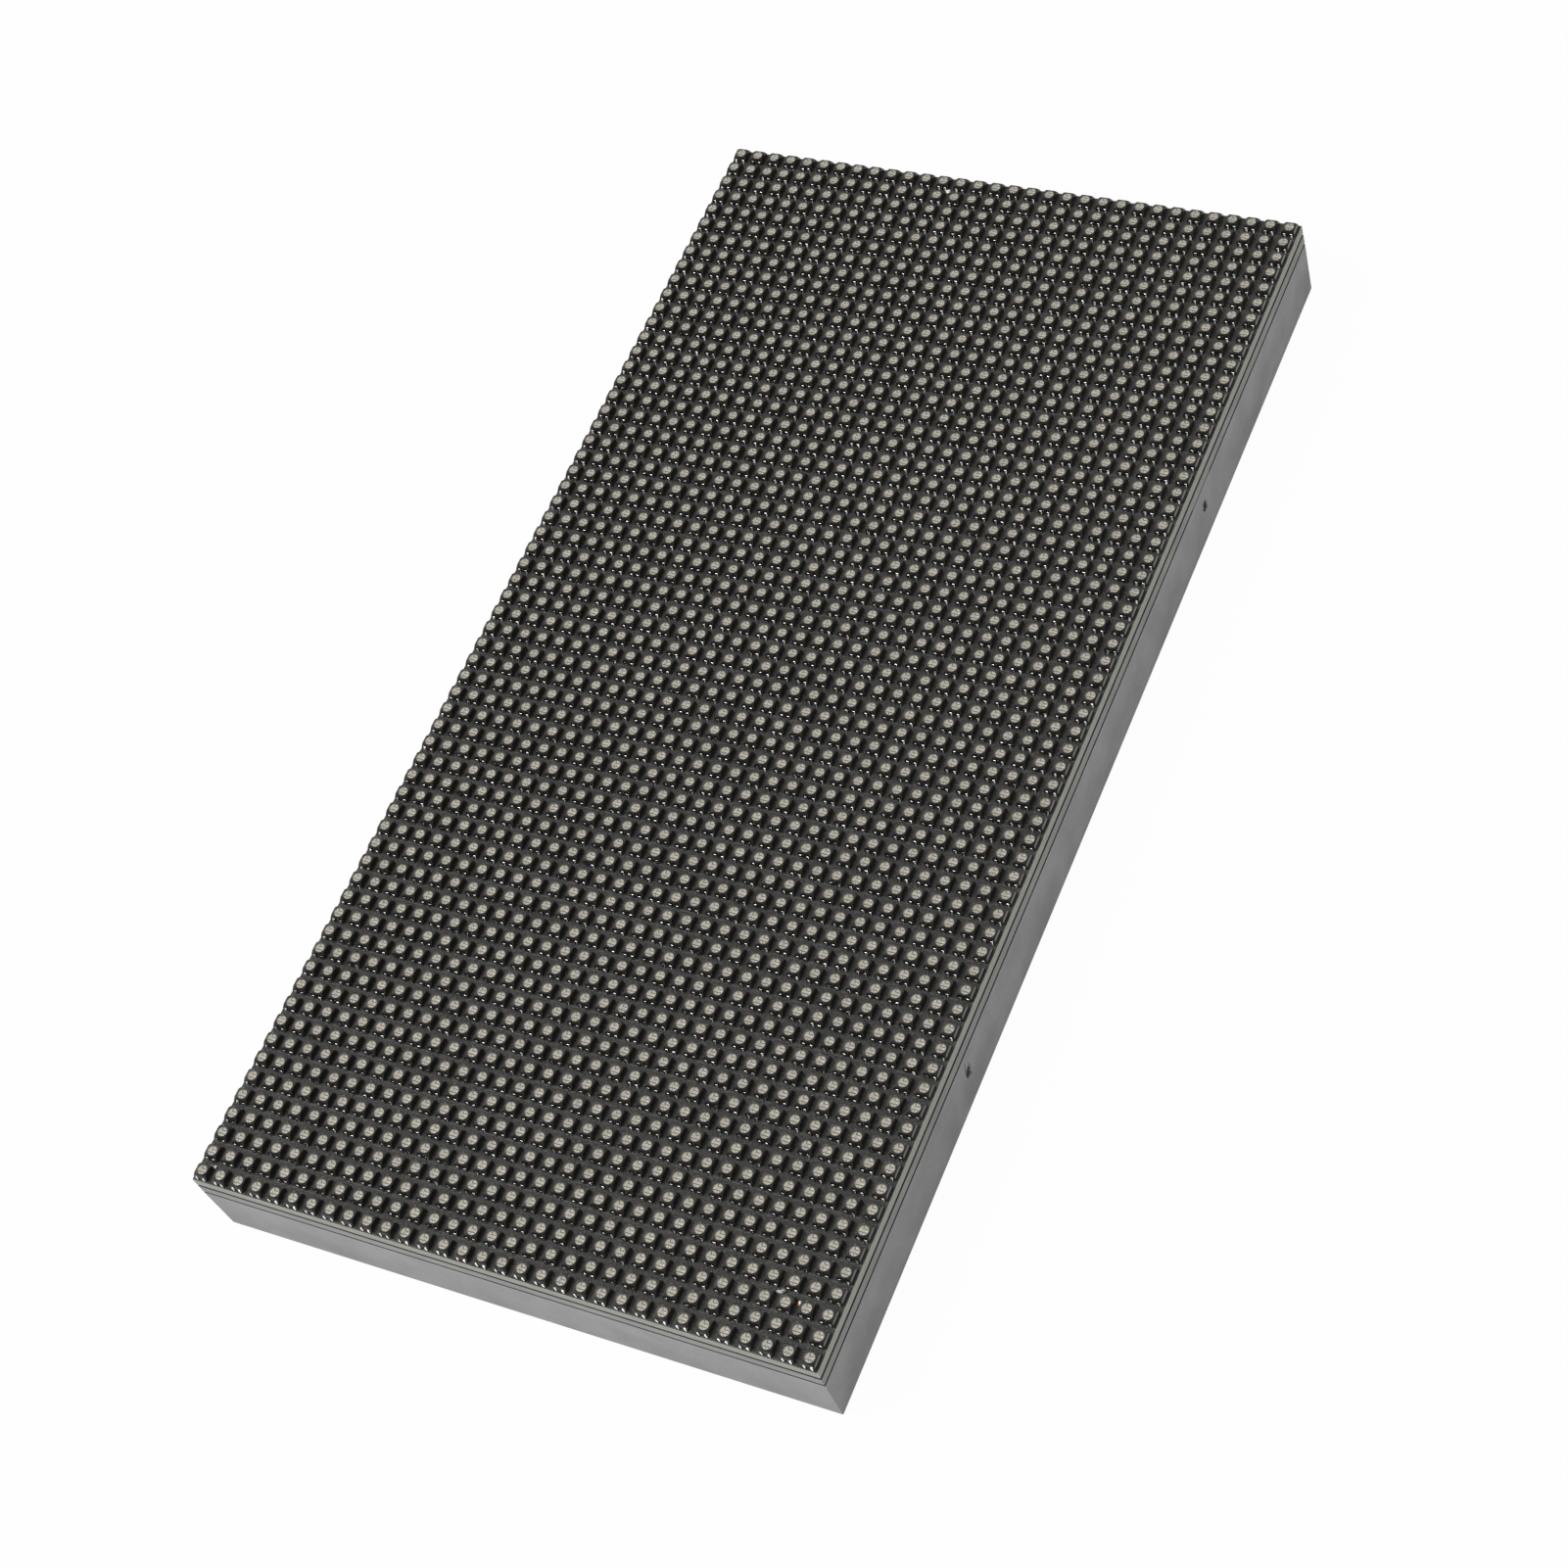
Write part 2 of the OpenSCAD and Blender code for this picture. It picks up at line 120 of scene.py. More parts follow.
class LedSettings(bpy.types.PropertyGroup):
    """Sizes and colours of the LEDs on the face"""

    columns: IntProperty(name="Columns", description="LEDs along the panel", default=64, min=2)
    rows: IntProperty(name="Rows", description="LEDs across the panel", default=32, min=2)
    seed: IntProperty(name="Seed", description="Start of the random tilts", default=11)
    taper: length("Taper", "How far a housing's plain sides lean in at the top", 0.1)
    terminal_taper: length("Terminal taper", "How far its sides with terminals lean in at the top", 0.19)
    taper_height: length("Taper height", "How far down a housing's sides that lean starts", 0.45)
    corner_cut: length("Corner cut", "Cut across each top corner of a housing", 0.25)
    cup_depth: length("Cup depth", "Depth of the cup that holds the resin", 0.12)
    rim_drop: length("Rim drop", "How far the resin's rim lies under the housing's top", 0.01)
    terminal_spread: length("Terminal spread", "Distance between the two terminals of one side", 1.03)
    terminal_width: length("Terminal width", "Width of a bent terminal", 0.32)
    terminal_height: length("Terminal height", "Height of a terminal's bend over the board", 0.7)
    fillet: length("Fillet", "How far the solder runs out from the housing", 0.22)
    terminal_tilt: angle("Terminal tilt", "Largest random turn of a terminal", 5)
    terminal_sway: share("Terminal sway", "Largest random change of a terminal's size", 0.08)
    housing: colour("Housing", "Matt black top of a housing", (0.0515, 0.0488, 0.0437))
    # Painted shade: the dark brown that a housing's top turns towards its -X -Y corner
    housing_shade_brown: colour("Brown housing", "Top near a housing's brown corner", (0.008, 0.0068, 0.0042))
    # Black, and darker than the top as painted shade
    housing_side_shaded: colour("Housing side", "Black sides of a housing", (0.014, 0.0137, 0.0127))
    resin: colour("Resin", "Milky resin over the lead frame", (0.434, 0.418, 0.350))
    resin_warm: colour("Warm resin", "Resin with a pink cast", (0.462, 0.406, 0.345))
    resin_cool: colour("Cool resin", "Resin with a green cast", (0.408, 0.424, 0.345))
    solder: colour("Solder", "Tinned terminals and their solder", (0.9, 0.9, 0.88))
    dust_pale: colour("Pale dust", "Pale crumbs between the LEDs", (0.88, 0.90, 0.84))
    dust_red: colour("Red dust", "Reddish crumb between the LEDs", (0.85, 0.32, 0.14))


class BoardSettings(bpy.types.PropertyGroup):
    """Sizes and colours of the circuit board and what is soldered to its back"""

    edge: length("Edge", "Rounding of the board's cut edge", 0.06)
    mask: colour("Mask", "Black solder mask", (0.034, 0.033, 0.0308))
    laminate: colour("Laminate", "Bare glass laminate of the cut edge", (0.33, 0.335, 0.29))
    mask_rise: length("Mask rise", "How far the back's mask and copper show on the cut edge", 0.17)
    lead_reach: length("Lead reach", "How far a chip's leads stand out from its body", 1.05)
    lead_thickness: length("Lead thickness", "Thickness of a chip's lead", 0.16)
    pad_thickness: length("Pad thickness", "Thickness of tin on a pad", 0.03)
    silk_width: length("Silk width", "Width of the printed outline of a part", 0.15)
    silk_gap: length("Silk gap", "Distance of the outline from its part", 0.35)
    epoxy: colour("Epoxy", "Moulded body of a chip", (0.022, 0.022, 0.023))
    tin: colour("Tin", "Tinned leads, ends and pads", (0.66, 0.66, 0.64))
    ceramic: colour("Ceramic", "Body of a ceramic capacitor", (0.36, 0.24, 0.13))
    resistor: colour("Resistor", "Coated top of a resistor", (0.02, 0.02, 0.022))
    aluminium: colour("Aluminium", "Capacitor can", (0.72, 0.72, 0.73))
    silk: colour("Silk", "White print on the board", (0.72, 0.72, 0.69))


class FrameSettings(bpy.types.PropertyGroup):
    """Sizes and colours of the moulded frame, the fasteners and the headers"""

    edge: length("Edge", "Rounding of the moulded edges", 0.04)
    small_edge: length("Small edge", "Rounding of edges on headers, contacts and screws", 0.07)
    thread_pitch: length("Thread pitch", "Pitch of the thread in an insert", 0.5)
    thread_depth: length("Thread depth", "Depth of that thread", 0.2)
    groove_foot: length("Groove foot", "Height of the shadow groove's lower edge over the floor", 9.9)
    groove_height: length("Groove height", "Height of that groove", 0.35)
    gap_foot: length("Gap foot", "Height of the lower edge of the gap under the board", 11.95)
    plastic: colour("Plastic", "Grey moulded frame", (0.238, 0.238, 0.24))
    rim: colour("Rim", "The frame's rim over the groove", (0.205, 0.205, 0.198))
    # Painted shade: the dark tone deep in the groove and in the gap under the board
    recess_shade: colour("Recess", "Plastic and dust deep in the groove and the gap", (0.022, 0.022, 0.021))
    # Torn plastic, and painted shadow along the edges of the gates' pits
    scar_and_shadow: colour("Scar", "Torn plastic at a trimmed gate", (0.05, 0.05, 0.052))
    brass: colour("Brass", "Inserts and studs", (0.66, 0.47, 0.19))
    steel: colour("Steel", "Blackened screws", (0.11, 0.11, 0.115))
    header: colour("Header", "Black header boxes", (0.018, 0.018, 0.019))
    nylon: colour("Nylon", "White power header", (0.72, 0.70, 0.63))
    gold: colour("Gold", "Gold-plated contacts", (0.83, 0.60, 0.24))


class StageSettings(bpy.types.PropertyGroup):
    """Camera, floor and lamps"""

    lens: FloatProperty(name="Lens", description="Focal length", default=72.632, unit="CAMERA")
    sensor: FloatProperty(name="Sensor", description="Width of the sensor", default=36, unit="CAMERA")
    azimuth: angle("Azimuth", "Turn of the camera round the panel, from +X", 224.072)
    elevation: angle("Elevation", "Height of the camera over the face", 53.588)
    roll: angle("Roll", "Lean of the camera to its right", 25.168)
    distance: length("Distance", "Distance from the camera to the face", 441.94)
    aim: point("Aim", "Point of the face in the middle of the picture", (-16.59, -9.28, 15))
    floor: length("Floor", "Width of the floor", 4000)
    floor_tone: colour("Floor tone", "Pale floor", (0.7, 0.7, 0.7))
    floor_glow: share("Floor glow", "Share of plain white in the floor that the camera sees", 0.97)
    ambient: FloatProperty(name="Ambient", description="Light from all round", default=0.5, min=0)
    key_power: power("Key power", "Power of the lamp over the left long side", 11)
    key_place: point("Key place", "Place of that lamp", (-450, 600, 1150))
    key_size: length("Key size", "Width of that lamp", 700)
    fill_power: power("Fill power", "Power of the low lamp at the near end", 4.5)
    fill_place: point("Fill place", "Place of that lamp", (-1300, -100, 400))
    fill_size: length("Fill size", "Width of that lamp", 600)


SETTINGS = {
    "led_panel_leds": LedSettings,
    "led_panel_board": BoardSettings,
    "led_panel_frame": FrameSettings,
    "led_panel_stage": StageSettings,
}


# Meshes

def rgba(value):
    """A colour with full alpha"""
    return (*value, 1.0)


def linked(name, mesh):
    """A new object in the scene, at the origin"""
    piece = bpy.data.objects.new(name, mesh)
    bpy.context.scene.collection.objects.link(piece)
    return piece


def plain_mesh(name, bm):
    """A mesh that holds only the points and faces of a bmesh, which is freed"""
    bm.verts.index_update()
    points = [v.co.copy() for v in bm.verts]
    faces = [[v.index for v in f.verts] for f in bm.faces]
    bm.free()
    mesh = bpy.data.meshes.new(name)
    mesh.from_pydata(points, [], faces)
    mesh.validate()
    return mesh


def shade(mesh):
    """Smooth shading, with its steeper edges kept sharp"""
    mesh.polygons.foreach_set("use_smooth", [True] * len(mesh.polygons))
    mesh.set_sharp_from_angle(angle=SHARP)
    return mesh


def frozen(piece):
    """Turns a piece's modifiers into a plain mesh"""
    graph = bpy.context.evaluated_depsgraph_get()
    mesh = bpy.data.meshes.new_from_object(piece.evaluated_get(graph), depsgraph=graph)
    old = piece.data
    piece.modifiers.clear()
    piece.data = mesh
    bpy.data.meshes.remove(old)
    mesh.name = piece.name
    return piece


def seated(piece, slot, *nodes):
    """Ties a finished piece to the panel's body and hides the solids that it stands for; the slot is not
    used
    """
    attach(piece, "root")
    if nodes:
        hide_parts(*nodes)


def solid_of(node):
    """A merged copy of a CAD node, as a bmesh with its flat faces joined"""
    bm = bmesh.new()
    bm.from_mesh(frame["nodes"][node].data)
    bmesh.ops.remove_doubles(bm, verts=bm.verts, dist=MERGE)
    bmesh.ops.dissolve_limit(bm, angle_limit=FLAT, verts=bm.verts, edges=bm.edges)
    return bm


def dressed(node, edge, *materials):
    """A copy of a CAD node with rounded edges and weighted normals"""
    piece = linked(f"{node}_finished", shade(plain_mesh(node, solid_of(node))))
    for material in materials:
        piece.data.materials.append(material)
    rounding = piece.modifiers.new("edges", "BEVEL")
    rounding.width = edge
    rounding.segments = 2
    rounding.limit_method = "ANGLE"
    rounding.angle_limit = SHARP
    rounding.use_clamp_overlap = False
    piece.modifiers.new("normals", "WEIGHTED_NORMAL")
    return frozen(piece)


def box_round(points):
    """Lowest and highest corner of some points"""
    return [Vector(pick(p[axis] for p in points) for axis in range(3)) for pick in (min, max)]


def boxes_of(node):
    """Lowest and highest corner of each separate solid in a CAD node, from -X to +X"""
    bm = bmesh.new()
    bm.from_mesh(frame["nodes"][node].data)
    bmesh.ops.remove_doubles(bm, verts=bm.verts, dist=MERGE)
    waiting = set(bm.verts)
    found = []
    while waiting:
        front = [waiting.pop()]
        corners = []
        while front:
            vert = front.pop()
            corners.append(vert.co.copy())
            near = {e.other_vert(vert) for e in vert.link_edges} & waiting
            waiting -= near
            front.extend(near)
        found.append(box_round(corners))
    bm.free()
    return sorted(found, key=lambda box: (round(box[0].x, 5), round(box[0].y, 5)))


def ring(bm, radius, z, sides, start=0.0):
    """Points round Z at a height"""
    turns = [start + 2 * math.pi * i / sides for i in range(sides)]
    return [bm.verts.new((radius * math.cos(t), radius * math.sin(t), z)) for t in turns]


def band(bm, below, above):
    """Faces between two closed rows of points"""
    for i in range(len(below)):
        j = (i + 1) % len(below)
        bm.faces.new((below[i], below[j], above[j], above[i]))


def extruded(bm, outline, width_at):
    """A closed prism of an outline in X and Z, whose width in Y follows the height"""
    right, left = [
        [bm.verts.new((x, side * width_at(z) / 2, z)) for x, z in outline] for side in (-1, 1)
    ]
    bm.faces.new(right)
    bm.faces.new(reversed(left))
    band(bm, left, right)


def add_block(bm, low, high, cut=0.0):
    """A box, with all its edges chamfered by a cut"""
    made = bmesh.ops.create_cube(bm, size=1)
    middle = (low + high) / 2
    for vert in made["verts"]:
        vert.co = middle + vert.co * (high - low)
    if cut:
        edges = {e for v in made["verts"] for e in v.link_edges}
        bmesh.ops.bevel(bm, geom=list(edges), offset=cut, segments=1, affect="EDGES")


def lathe(name, profile, segments):
    """A closed profile of radius and height, turned round Z"""
    bm = bmesh.new()
    rings = []
    for step in range(segments):
        turn = Matrix.Rotation(step * 2 * math.pi / segments, 3, "Z")
        rings.append([bm.verts.new(turn @ Vector((r, 0, z))) for r, z in profile])
    for step in range(segments):
        band(bm, rings[(step + 1) % segments], rings[step])
    return finished_shape(name, bm)


def finished_shape(name, bm):
    """A mesh with doubles merged and normals outwards, for repeating"""
    bmesh.ops.remove_doubles(bm, verts=bm.verts, dist=MERGE)
    bmesh.ops.recalc_face_normals(bm, faces=bm.faces)
    return shade(plain_mesh(name, bm))


# Repeats

class Wiring:
    """Adds nodes to one tree and links them, so that a tree reads as a list of steps"""

    def __init__(self, tree):
        self.tree = tree

    def node(self, kind, **settings):
        """A new node of a kind, with its settings"""
        made = self.tree.nodes.new(kind)
        for key, value in settings.items():
            setattr(made, key, value)
        return made

    def feed(self, socket, value):
        """Links an output to a socket, or sets the socket to a plain value"""
        if isinstance(value, bpy.types.NodeSocket):
            self.tree.links.new(value, socket)
        else:
            socket.default_value = value

    def math(self, operation, *values, kind="ShaderNodeMath"):
        """Result of an operation on numbers"""
        made = self.node(kind, operation=operation)
        for socket, value in zip(made.inputs, values):
            self.feed(socket, value)
        return made.outputs[0]

    def vector(self, operation, *values):
        """Result of an operation on vectors"""
        return self.math(operation, *values, kind="ShaderNodeVectorMath")

    def times(self, first, *others):
        """Product of two or more numbers"""
        for other in others:
            first = self.math("MULTIPLY", first, other)
        return first


SEAT_INPUTS = [
    ("Seats", "NodeSocketGeometry"),
    ("Columns", "NodeSocketInt"),
    ("Rows", "NodeSocketInt"),
    ("Pitch", "NodeSocketFloat"),
    ("Shape", "NodeSocketObject"),
    ("Finish", "NodeSocketMaterial"),
    ("Tilt", "NodeSocketFloat"),
    ("Sway", "NodeSocketFloat"),
    ("Seed", "NodeSocketInt"),
]


def random_spread(wiring, middle, reach, seed):
    """A random vector for each point, up to a reach on both sides of a middle"""
    made = wiring.node("FunctionNodeRandomValue", data_type="FLOAT_VECTOR")
    low = wiring.node("ShaderNodeCombineXYZ")
    high = wiring.node("ShaderNodeCombineXYZ")
    for axis in range(3):
        wiring.feed(low.inputs[axis], wiring.math("SUBTRACT", middle, reach))
        wiring.feed(high.inputs[axis], wiring.math("ADD", middle, reach))
    wiring.feed(made.inputs[0], low.outputs[0])
    wiring.feed(made.inputs[1], high.outputs[0])
    wiring.feed(made.inputs["Seed"], seed)
    return made.outputs[0]


def seat_attribute(wiring, name):
    """A vector stored on each seat"""
    made = wiring.node("GeometryNodeInputNamedAttribute", data_type="FLOAT_VECTOR")
    made.inputs["Name"].default_value = name
    return made.outputs["Attribute"]


def seat_tree():
    """The node tree that puts a shape on each seat of each cell of a grid"""
    name = "shape_on_seats"
    if name in bpy.data.node_groups:
        return bpy.data.node_groups[name]
    tree = bpy.data.node_groups.new(name, "GeometryNodeTree")
    for label, kind in SEAT_INPUTS:
        tree.interface.new_socket(label, in_out="INPUT", socket_type=kind)
    tree.interface.new_socket("Pieces", in_out="OUTPUT", socket_type="NodeSocketGeometry")
    wiring = Wiring(tree)
    given = wiring.node("NodeGroupInput").outputs
    grid = wiring.node("GeometryNodeMeshGrid")
    for axis, count in (("X", "Columns"), ("Y", "Rows")):
        steps = wiring.math("SUBTRACT", given[count], 1)
        wiring.feed(grid.inputs[f"Size {axis}"], wiring.times(steps, given["Pitch"]))
        wiring.feed(grid.inputs[f"Vertices {axis}"], given[count])
    cells = wiring.node("GeometryNodeInstanceOnPoints")
    wiring.feed(cells.inputs["Points"], grid.outputs["Mesh"])
    wiring.feed(cells.inputs["Instance"], given["Seats"])
    seats = wiring.node("GeometryNodeRealizeInstances")
    wiring.feed(seats.inputs[0], cells.outputs[0])
    shape = wiring.node("GeometryNodeObjectInfo")
    wiring.feed(shape.inputs["Object"], given["Shape"])
    pieces = wiring.node("GeometryNodeInstanceOnPoints")
    tilt = random_spread(wiring, 0.0, given["Tilt"], given["Seed"])
    sway = random_spread(wiring, 1.0, given["Sway"], wiring.math("ADD", given["Seed"], 1))
    wiring.feed(pieces.inputs["Points"], seats.outputs[0])
    wiring.feed(pieces.inputs["Instance"], shape.outputs["Geometry"])
    wiring.feed(pieces.inputs["Rotation"], wiring.vector("ADD", seat_attribute(wiring, "turn"), tilt))
    wiring.feed(pieces.inputs["Scale"], wiring.vector("MULTIPLY", seat_attribute(wiring, "size"), sway))
    solid = wiring.node("GeometryNodeRealizeInstances")
    wiring.feed(solid.inputs[0], pieces.outputs[0])
    painted = wiring.node("GeometryNodeSetMaterial")
    wiring.feed(painted.inputs["Geometry"], solid.outputs[0])
    wiring.feed(painted.inputs["Material"], given["Finish"])
    wiring.feed(wiring.node("NodeGroupOutput").inputs[0], painted.outputs[0])
    return tree


def seat(place, turn=(0, 0, 0), size=(1, 1, 1)):
    """A place for one shape, with its turn in radians and its scale"""
    return (tuple(place), tuple(turn), tuple(size))


def repeated(name, shape, material, seats, columns=1, rows=1, pitch=0.0, tilt=0.0, sway=0.0, seed=0):
    """Puts a shape on each seat, in each cell of a grid, and returns one plain mesh object"""
    host_mesh = bpy.data.meshes.new(name)
    host_mesh.from_pydata([place for place, _, _ in seats], [], [])
    for label, index in (("turn", 1), ("size", 2)):
        stored = host_mesh.attributes.new(label, "FLOAT_VECTOR", "POINT")
        stored.data.foreach_set("vector", [v for one in seats for v in one[index]])
    piece = linked(name, host_mesh)
    pattern = linked(f"{name}_shape", shape)
    tree = seat_tree()
    values = {
        "Columns": columns, "Rows": rows, "Pitch": pitch, "Shape": pattern,
        "Finish": material, "Tilt": tilt, "Sway": sway, "Seed": seed,
    }
    modifier = piece.modifiers.new("repeat", "NODES")
    modifier.node_group = tree
    for item in tree.interface.items_tree:
        if item.name in values:
            modifier[item.identifier] = values[item.name]
    frozen(piece)
    bpy.data.objects.remove(pattern)
    bpy.data.meshes.remove(shape)
    if not piece.data.polygons:
        raise RuntimeError(f"{name} has no faces: its seats or its shape are empty")
    return piece


# Finishes

class Finish(Wiring):
    """One material: a shader, and the nodes that vary it over the surface"""

    def __init__(self, name, tone, roughness, metallic=0.0, specular=0.5):
        self.material = bpy.data.materials.new(name)
        self.material.use_nodes = True
        self.material.diffuse_color = rgba(tone)
        super().__init__(self.material.node_tree)
        self.shader = next(n for n in self.tree.nodes if n.type == "BSDF_PRINCIPLED")
        self.tone = rgba(tone)
        self.give("Base Color", self.tone)
        self.give("Roughness", roughness)
        self.give("Metallic", metallic)
        self.give("Specular IOR Level", specular)
        self.place = self.node("ShaderNodeTexCoord").outputs["Object"]

    def give(self, socket, value):
        """Sets or links one input of the shader"""
        self.feed(self.shader.inputs[socket], value)

    def noise(self, size, detail, place=None):
        """Cloudy noise with patches of a size"""
        made = self.node("ShaderNodeTexNoise")
        self.feed(made.inputs["Vector"], place or self.place)
        made.inputs["Scale"].default_value = 1 / size
        made.inputs["Detail"].default_value = detail
        return made.outputs[0]

    def span(self, value, low, high, to_low=0.0, to_high=1.0):
        """Maps a value from one range to another, eased and held at both ends"""
        made = self.node("ShaderNodeMapRange", interpolation_type="SMOOTHSTEP")
        for socket, number in zip(made.inputs, (value, low, high, to_low, to_high)):
            self.feed(socket, number)
        return made.outputs[0]

    def between(self, part, low, high):
        """A number from low to high, as a part goes from 0 to 1"""
        return self.span(part, 0, 1, low, high)

    def mix(self, factor, first, second):
        """Blends two colours"""
        made = self.node("ShaderNodeMix", data_type="RGBA")
        self.feed(made.inputs[0], factor)
        self.feed(made.inputs[6], first)
        self.feed(made.inputs[7], second)
        return made.outputs[2]

    def shaded(self, tone, value):
        """A colour times a number"""
        made = self.node("ShaderNodeVectorMath", operation="SCALE")
        self.feed(made.inputs[0], tone if isinstance(tone, bpy.types.NodeSocket) else tone[:3])
        self.feed(made.inputs["Scale"], value)
        return made.outputs[0]

    def drift(self, size, detail, low, high, place=None):
        """A number that drifts between two values in patches of a size"""
        return self.span(self.noise(size, detail, place), *NOISE_RANGE, low, high)

    def mottle(self, size, amount):
        """Lets the colour drift darker and lighter in patches of a size"""
        self.give("Base Color", self.shaded(self.tone, self.drift(size, 4, 1 - amount, 1 + amount)))
        return self

    def polish(self, size, low, high):
        """Lets the roughness drift between two values in patches of a size"""
        self.give("Roughness", self.drift(size, 3, low, high))
        return self

    def bumps(self, height, depth):
        """Raises the surface by a height from 0 to 1, at a depth in metres"""
        made = self.node("ShaderNodeBump")
        made.inputs["Strength"].default_value = 1
        made.inputs["Distance"].default_value = depth
        self.feed(made.inputs["Height"], height)
        before = self.shader.inputs["Normal"].links
        if before:
            self.feed(made.inputs["Normal"], before[0].from_socket)
        self.give("Normal", made.outputs[0])
        return self

    def grain(self, size, depth):
        """Fine bumps of a size and a depth, as a mould or a blast leaves them"""
        return self.bumps(self.noise(size, 3), depth)

    def axes(self, vector):
        """The three numbers of a vector"""
        made = self.node("ShaderNodeSeparateXYZ")
        self.feed(made.inputs[0], vector)
        return made.outputs[:]

    def mark(self, x, y, middle, half, soft):
        """1 inside a rectangle and 0 outside, with soft edges of a width"""
        away = []
        for value, centre, reach in zip((x, y), middle, half):
            off = self.math("ABSOLUTE", self.math("SUBTRACT", value, centre))
            away.append(self.math("SUBTRACT", off, reach))
        outside = self.math("MAXIMUM", *away)
        return self.span(outside, -soft / 2, soft / 2, 1.0, 0.0)

    def stroke(self, x, y, start, end, half):
        """1 on a line from start to end with a half width, and 0 off it, with soft edges"""
        run = end - start
        off = [self.math("SUBTRACT", value, origin) for value, origin in zip((x, y), start)]
        along = [self.times(o, r / run.length_squared) for o, r in zip(off, run)]
        part = self.math("MINIMUM", self.math("MAXIMUM", self.math("ADD", *along), 0.0), 1.0)
        away = [self.math("SUBTRACT", o, self.times(part, r)) for o, r in zip(off, run)]
        gap = self.math("SQRT", self.math("ADD", *[self.times(a, a) for a in away]))
        return self.span(gap, half * 0.6, half * 1.2, 1.0, 0.0)

    def chance(self, vector):
        """Random colour for each whole-number place"""
        made = self.node("ShaderNodeTexWhiteNoise", noise_dimensions="3D")
        self.feed(made.inputs["Vector"], vector)
        return made.outputs["Color"]

    def cell(self, pitch):
        """Number of the LED under a point, and the point's place from that LED's middle"""
        steps = self.vector("DIVIDE", self.place, (pitch, pitch, 1.0))
        number = self.vector("FLOOR", steps)
        inside = self.vector("SUBTRACT", self.vector("FRACTION", steps), (0.5, 0.5, 0.0))
        return number, self.vector("MULTIPLY", inside, (pitch, pitch, 1.0))


def moulded(name, tone, roughness, grain=0.12 * MM, depth=0.006 * MM, specular=0.5):
    """Moulded plastic with a fine matt grain and a slight drift of colour"""
    made = Finish(name, tone, roughness, specular=specular)
    made.mottle(9 * MM, 0.05).polish(2 * MM, roughness - 0.06, roughness + 0.08)
    return made.grain(grain, depth).material


def plated(name, tone, roughness):
    """Bare or plated metal with a slightly uneven polish"""
    made = Finish(name, tone, roughness, metallic=1.0)
    made.mottle(1.5 * MM, 0.1).polish(0.6 * MM, roughness - 0.1, roughness + 0.12)
    return made.grain(0.15 * MM, 0.004 * MM).material


def housing_finish(leds, pitch, width, board_top, height):
    """Black LED housings: a matt top with painted shade, tinted brown, towards its -X -Y corner, and black
    sides darkened further as painted shade, with painted light near their foot; the plain sides glossy
    """
    made = Finish("led_housing_black", leds.housing, 0.6, specular=0.2)
    number, inside = made.cell(pitch)
    luck = made.axes(made.chance(number))
    x, y, z = made.axes(inside)
    # Painted shade: the top darkens and turns brown from its +X +Y side to its -X -Y corner
    shade_end, unshaded_start = -0.6 * width, 0.45 * width
    shade_part = made.span(made.math("ADD", x, y), shade_end, unshaded_start)
    tone = made.mix(shade_part, rgba(leds.housing_shade_brown), made.tone)
    tone = made.shaded(tone, made.between(luck[0], 0.7, 1.35))
    middle = (0.0, 0.0)
    soft = leds.taper * 0.4
    reach = (width / 2 - leds.terminal_taper * 0.9, width / 2 - leds.taper * 0.8)
    top = made.mark(x, y, middle, reach, soft)
    # Painted light: the sides grow lighter towards the board, nearly twice as light at the foot; the rest
    # of their darkness is painted shade
    lit_height = height * 0.7
    foot = made.span(z, board_top, board_top + lit_height, 1.9, 1.0)
    tone = made.mix(top, made.shaded(rgba(leds.housing_side_shaded), foot), tone)
    made.give("Base Color", made.shaded(tone, made.drift(0.4 * MM, 2, 0.8, 1.2)))
    side_roughness = 0.18
    matt = made.between(luck[1], 0.34, 0.5)
    made.give("Roughness", made.math("ADD", side_roughness, made.times(top, matt)))
    strip = made.mark(x, y, middle, (reach[0], width), soft)
    plain_sides = made.math("SUBTRACT", strip, top)
    made.give("Coat Weight", made.times(plain_sides, 0.75))
    made.give("Coat Roughness", 0.08)
    return made.grain(0.09 * MM, 0.005 * MM).material


# Slots and dies of an LED's lead frame under its resin, in millimetres from its middle:
# place along and across, half width along and across, and how dark they show
LEAD_MARKS = [
    (-0.30, 0.0, 0.075, 0.55, 0.82),
    (-0.50, -0.03, 0.22, 0.06, 0.7),
    (0.46, 0.09, 0.28, 0.07, 0.82),
    (0.20, -0.22, 0.065, 0.34, 0.82),
    (-0.06, 0.14, 0.08, 0.09, 0.5),
    (-0.04, -0.16, 0.08, 0.08, 0.45),
    (0.10, 0.40, 0.07, 0.08, 0.4),
]


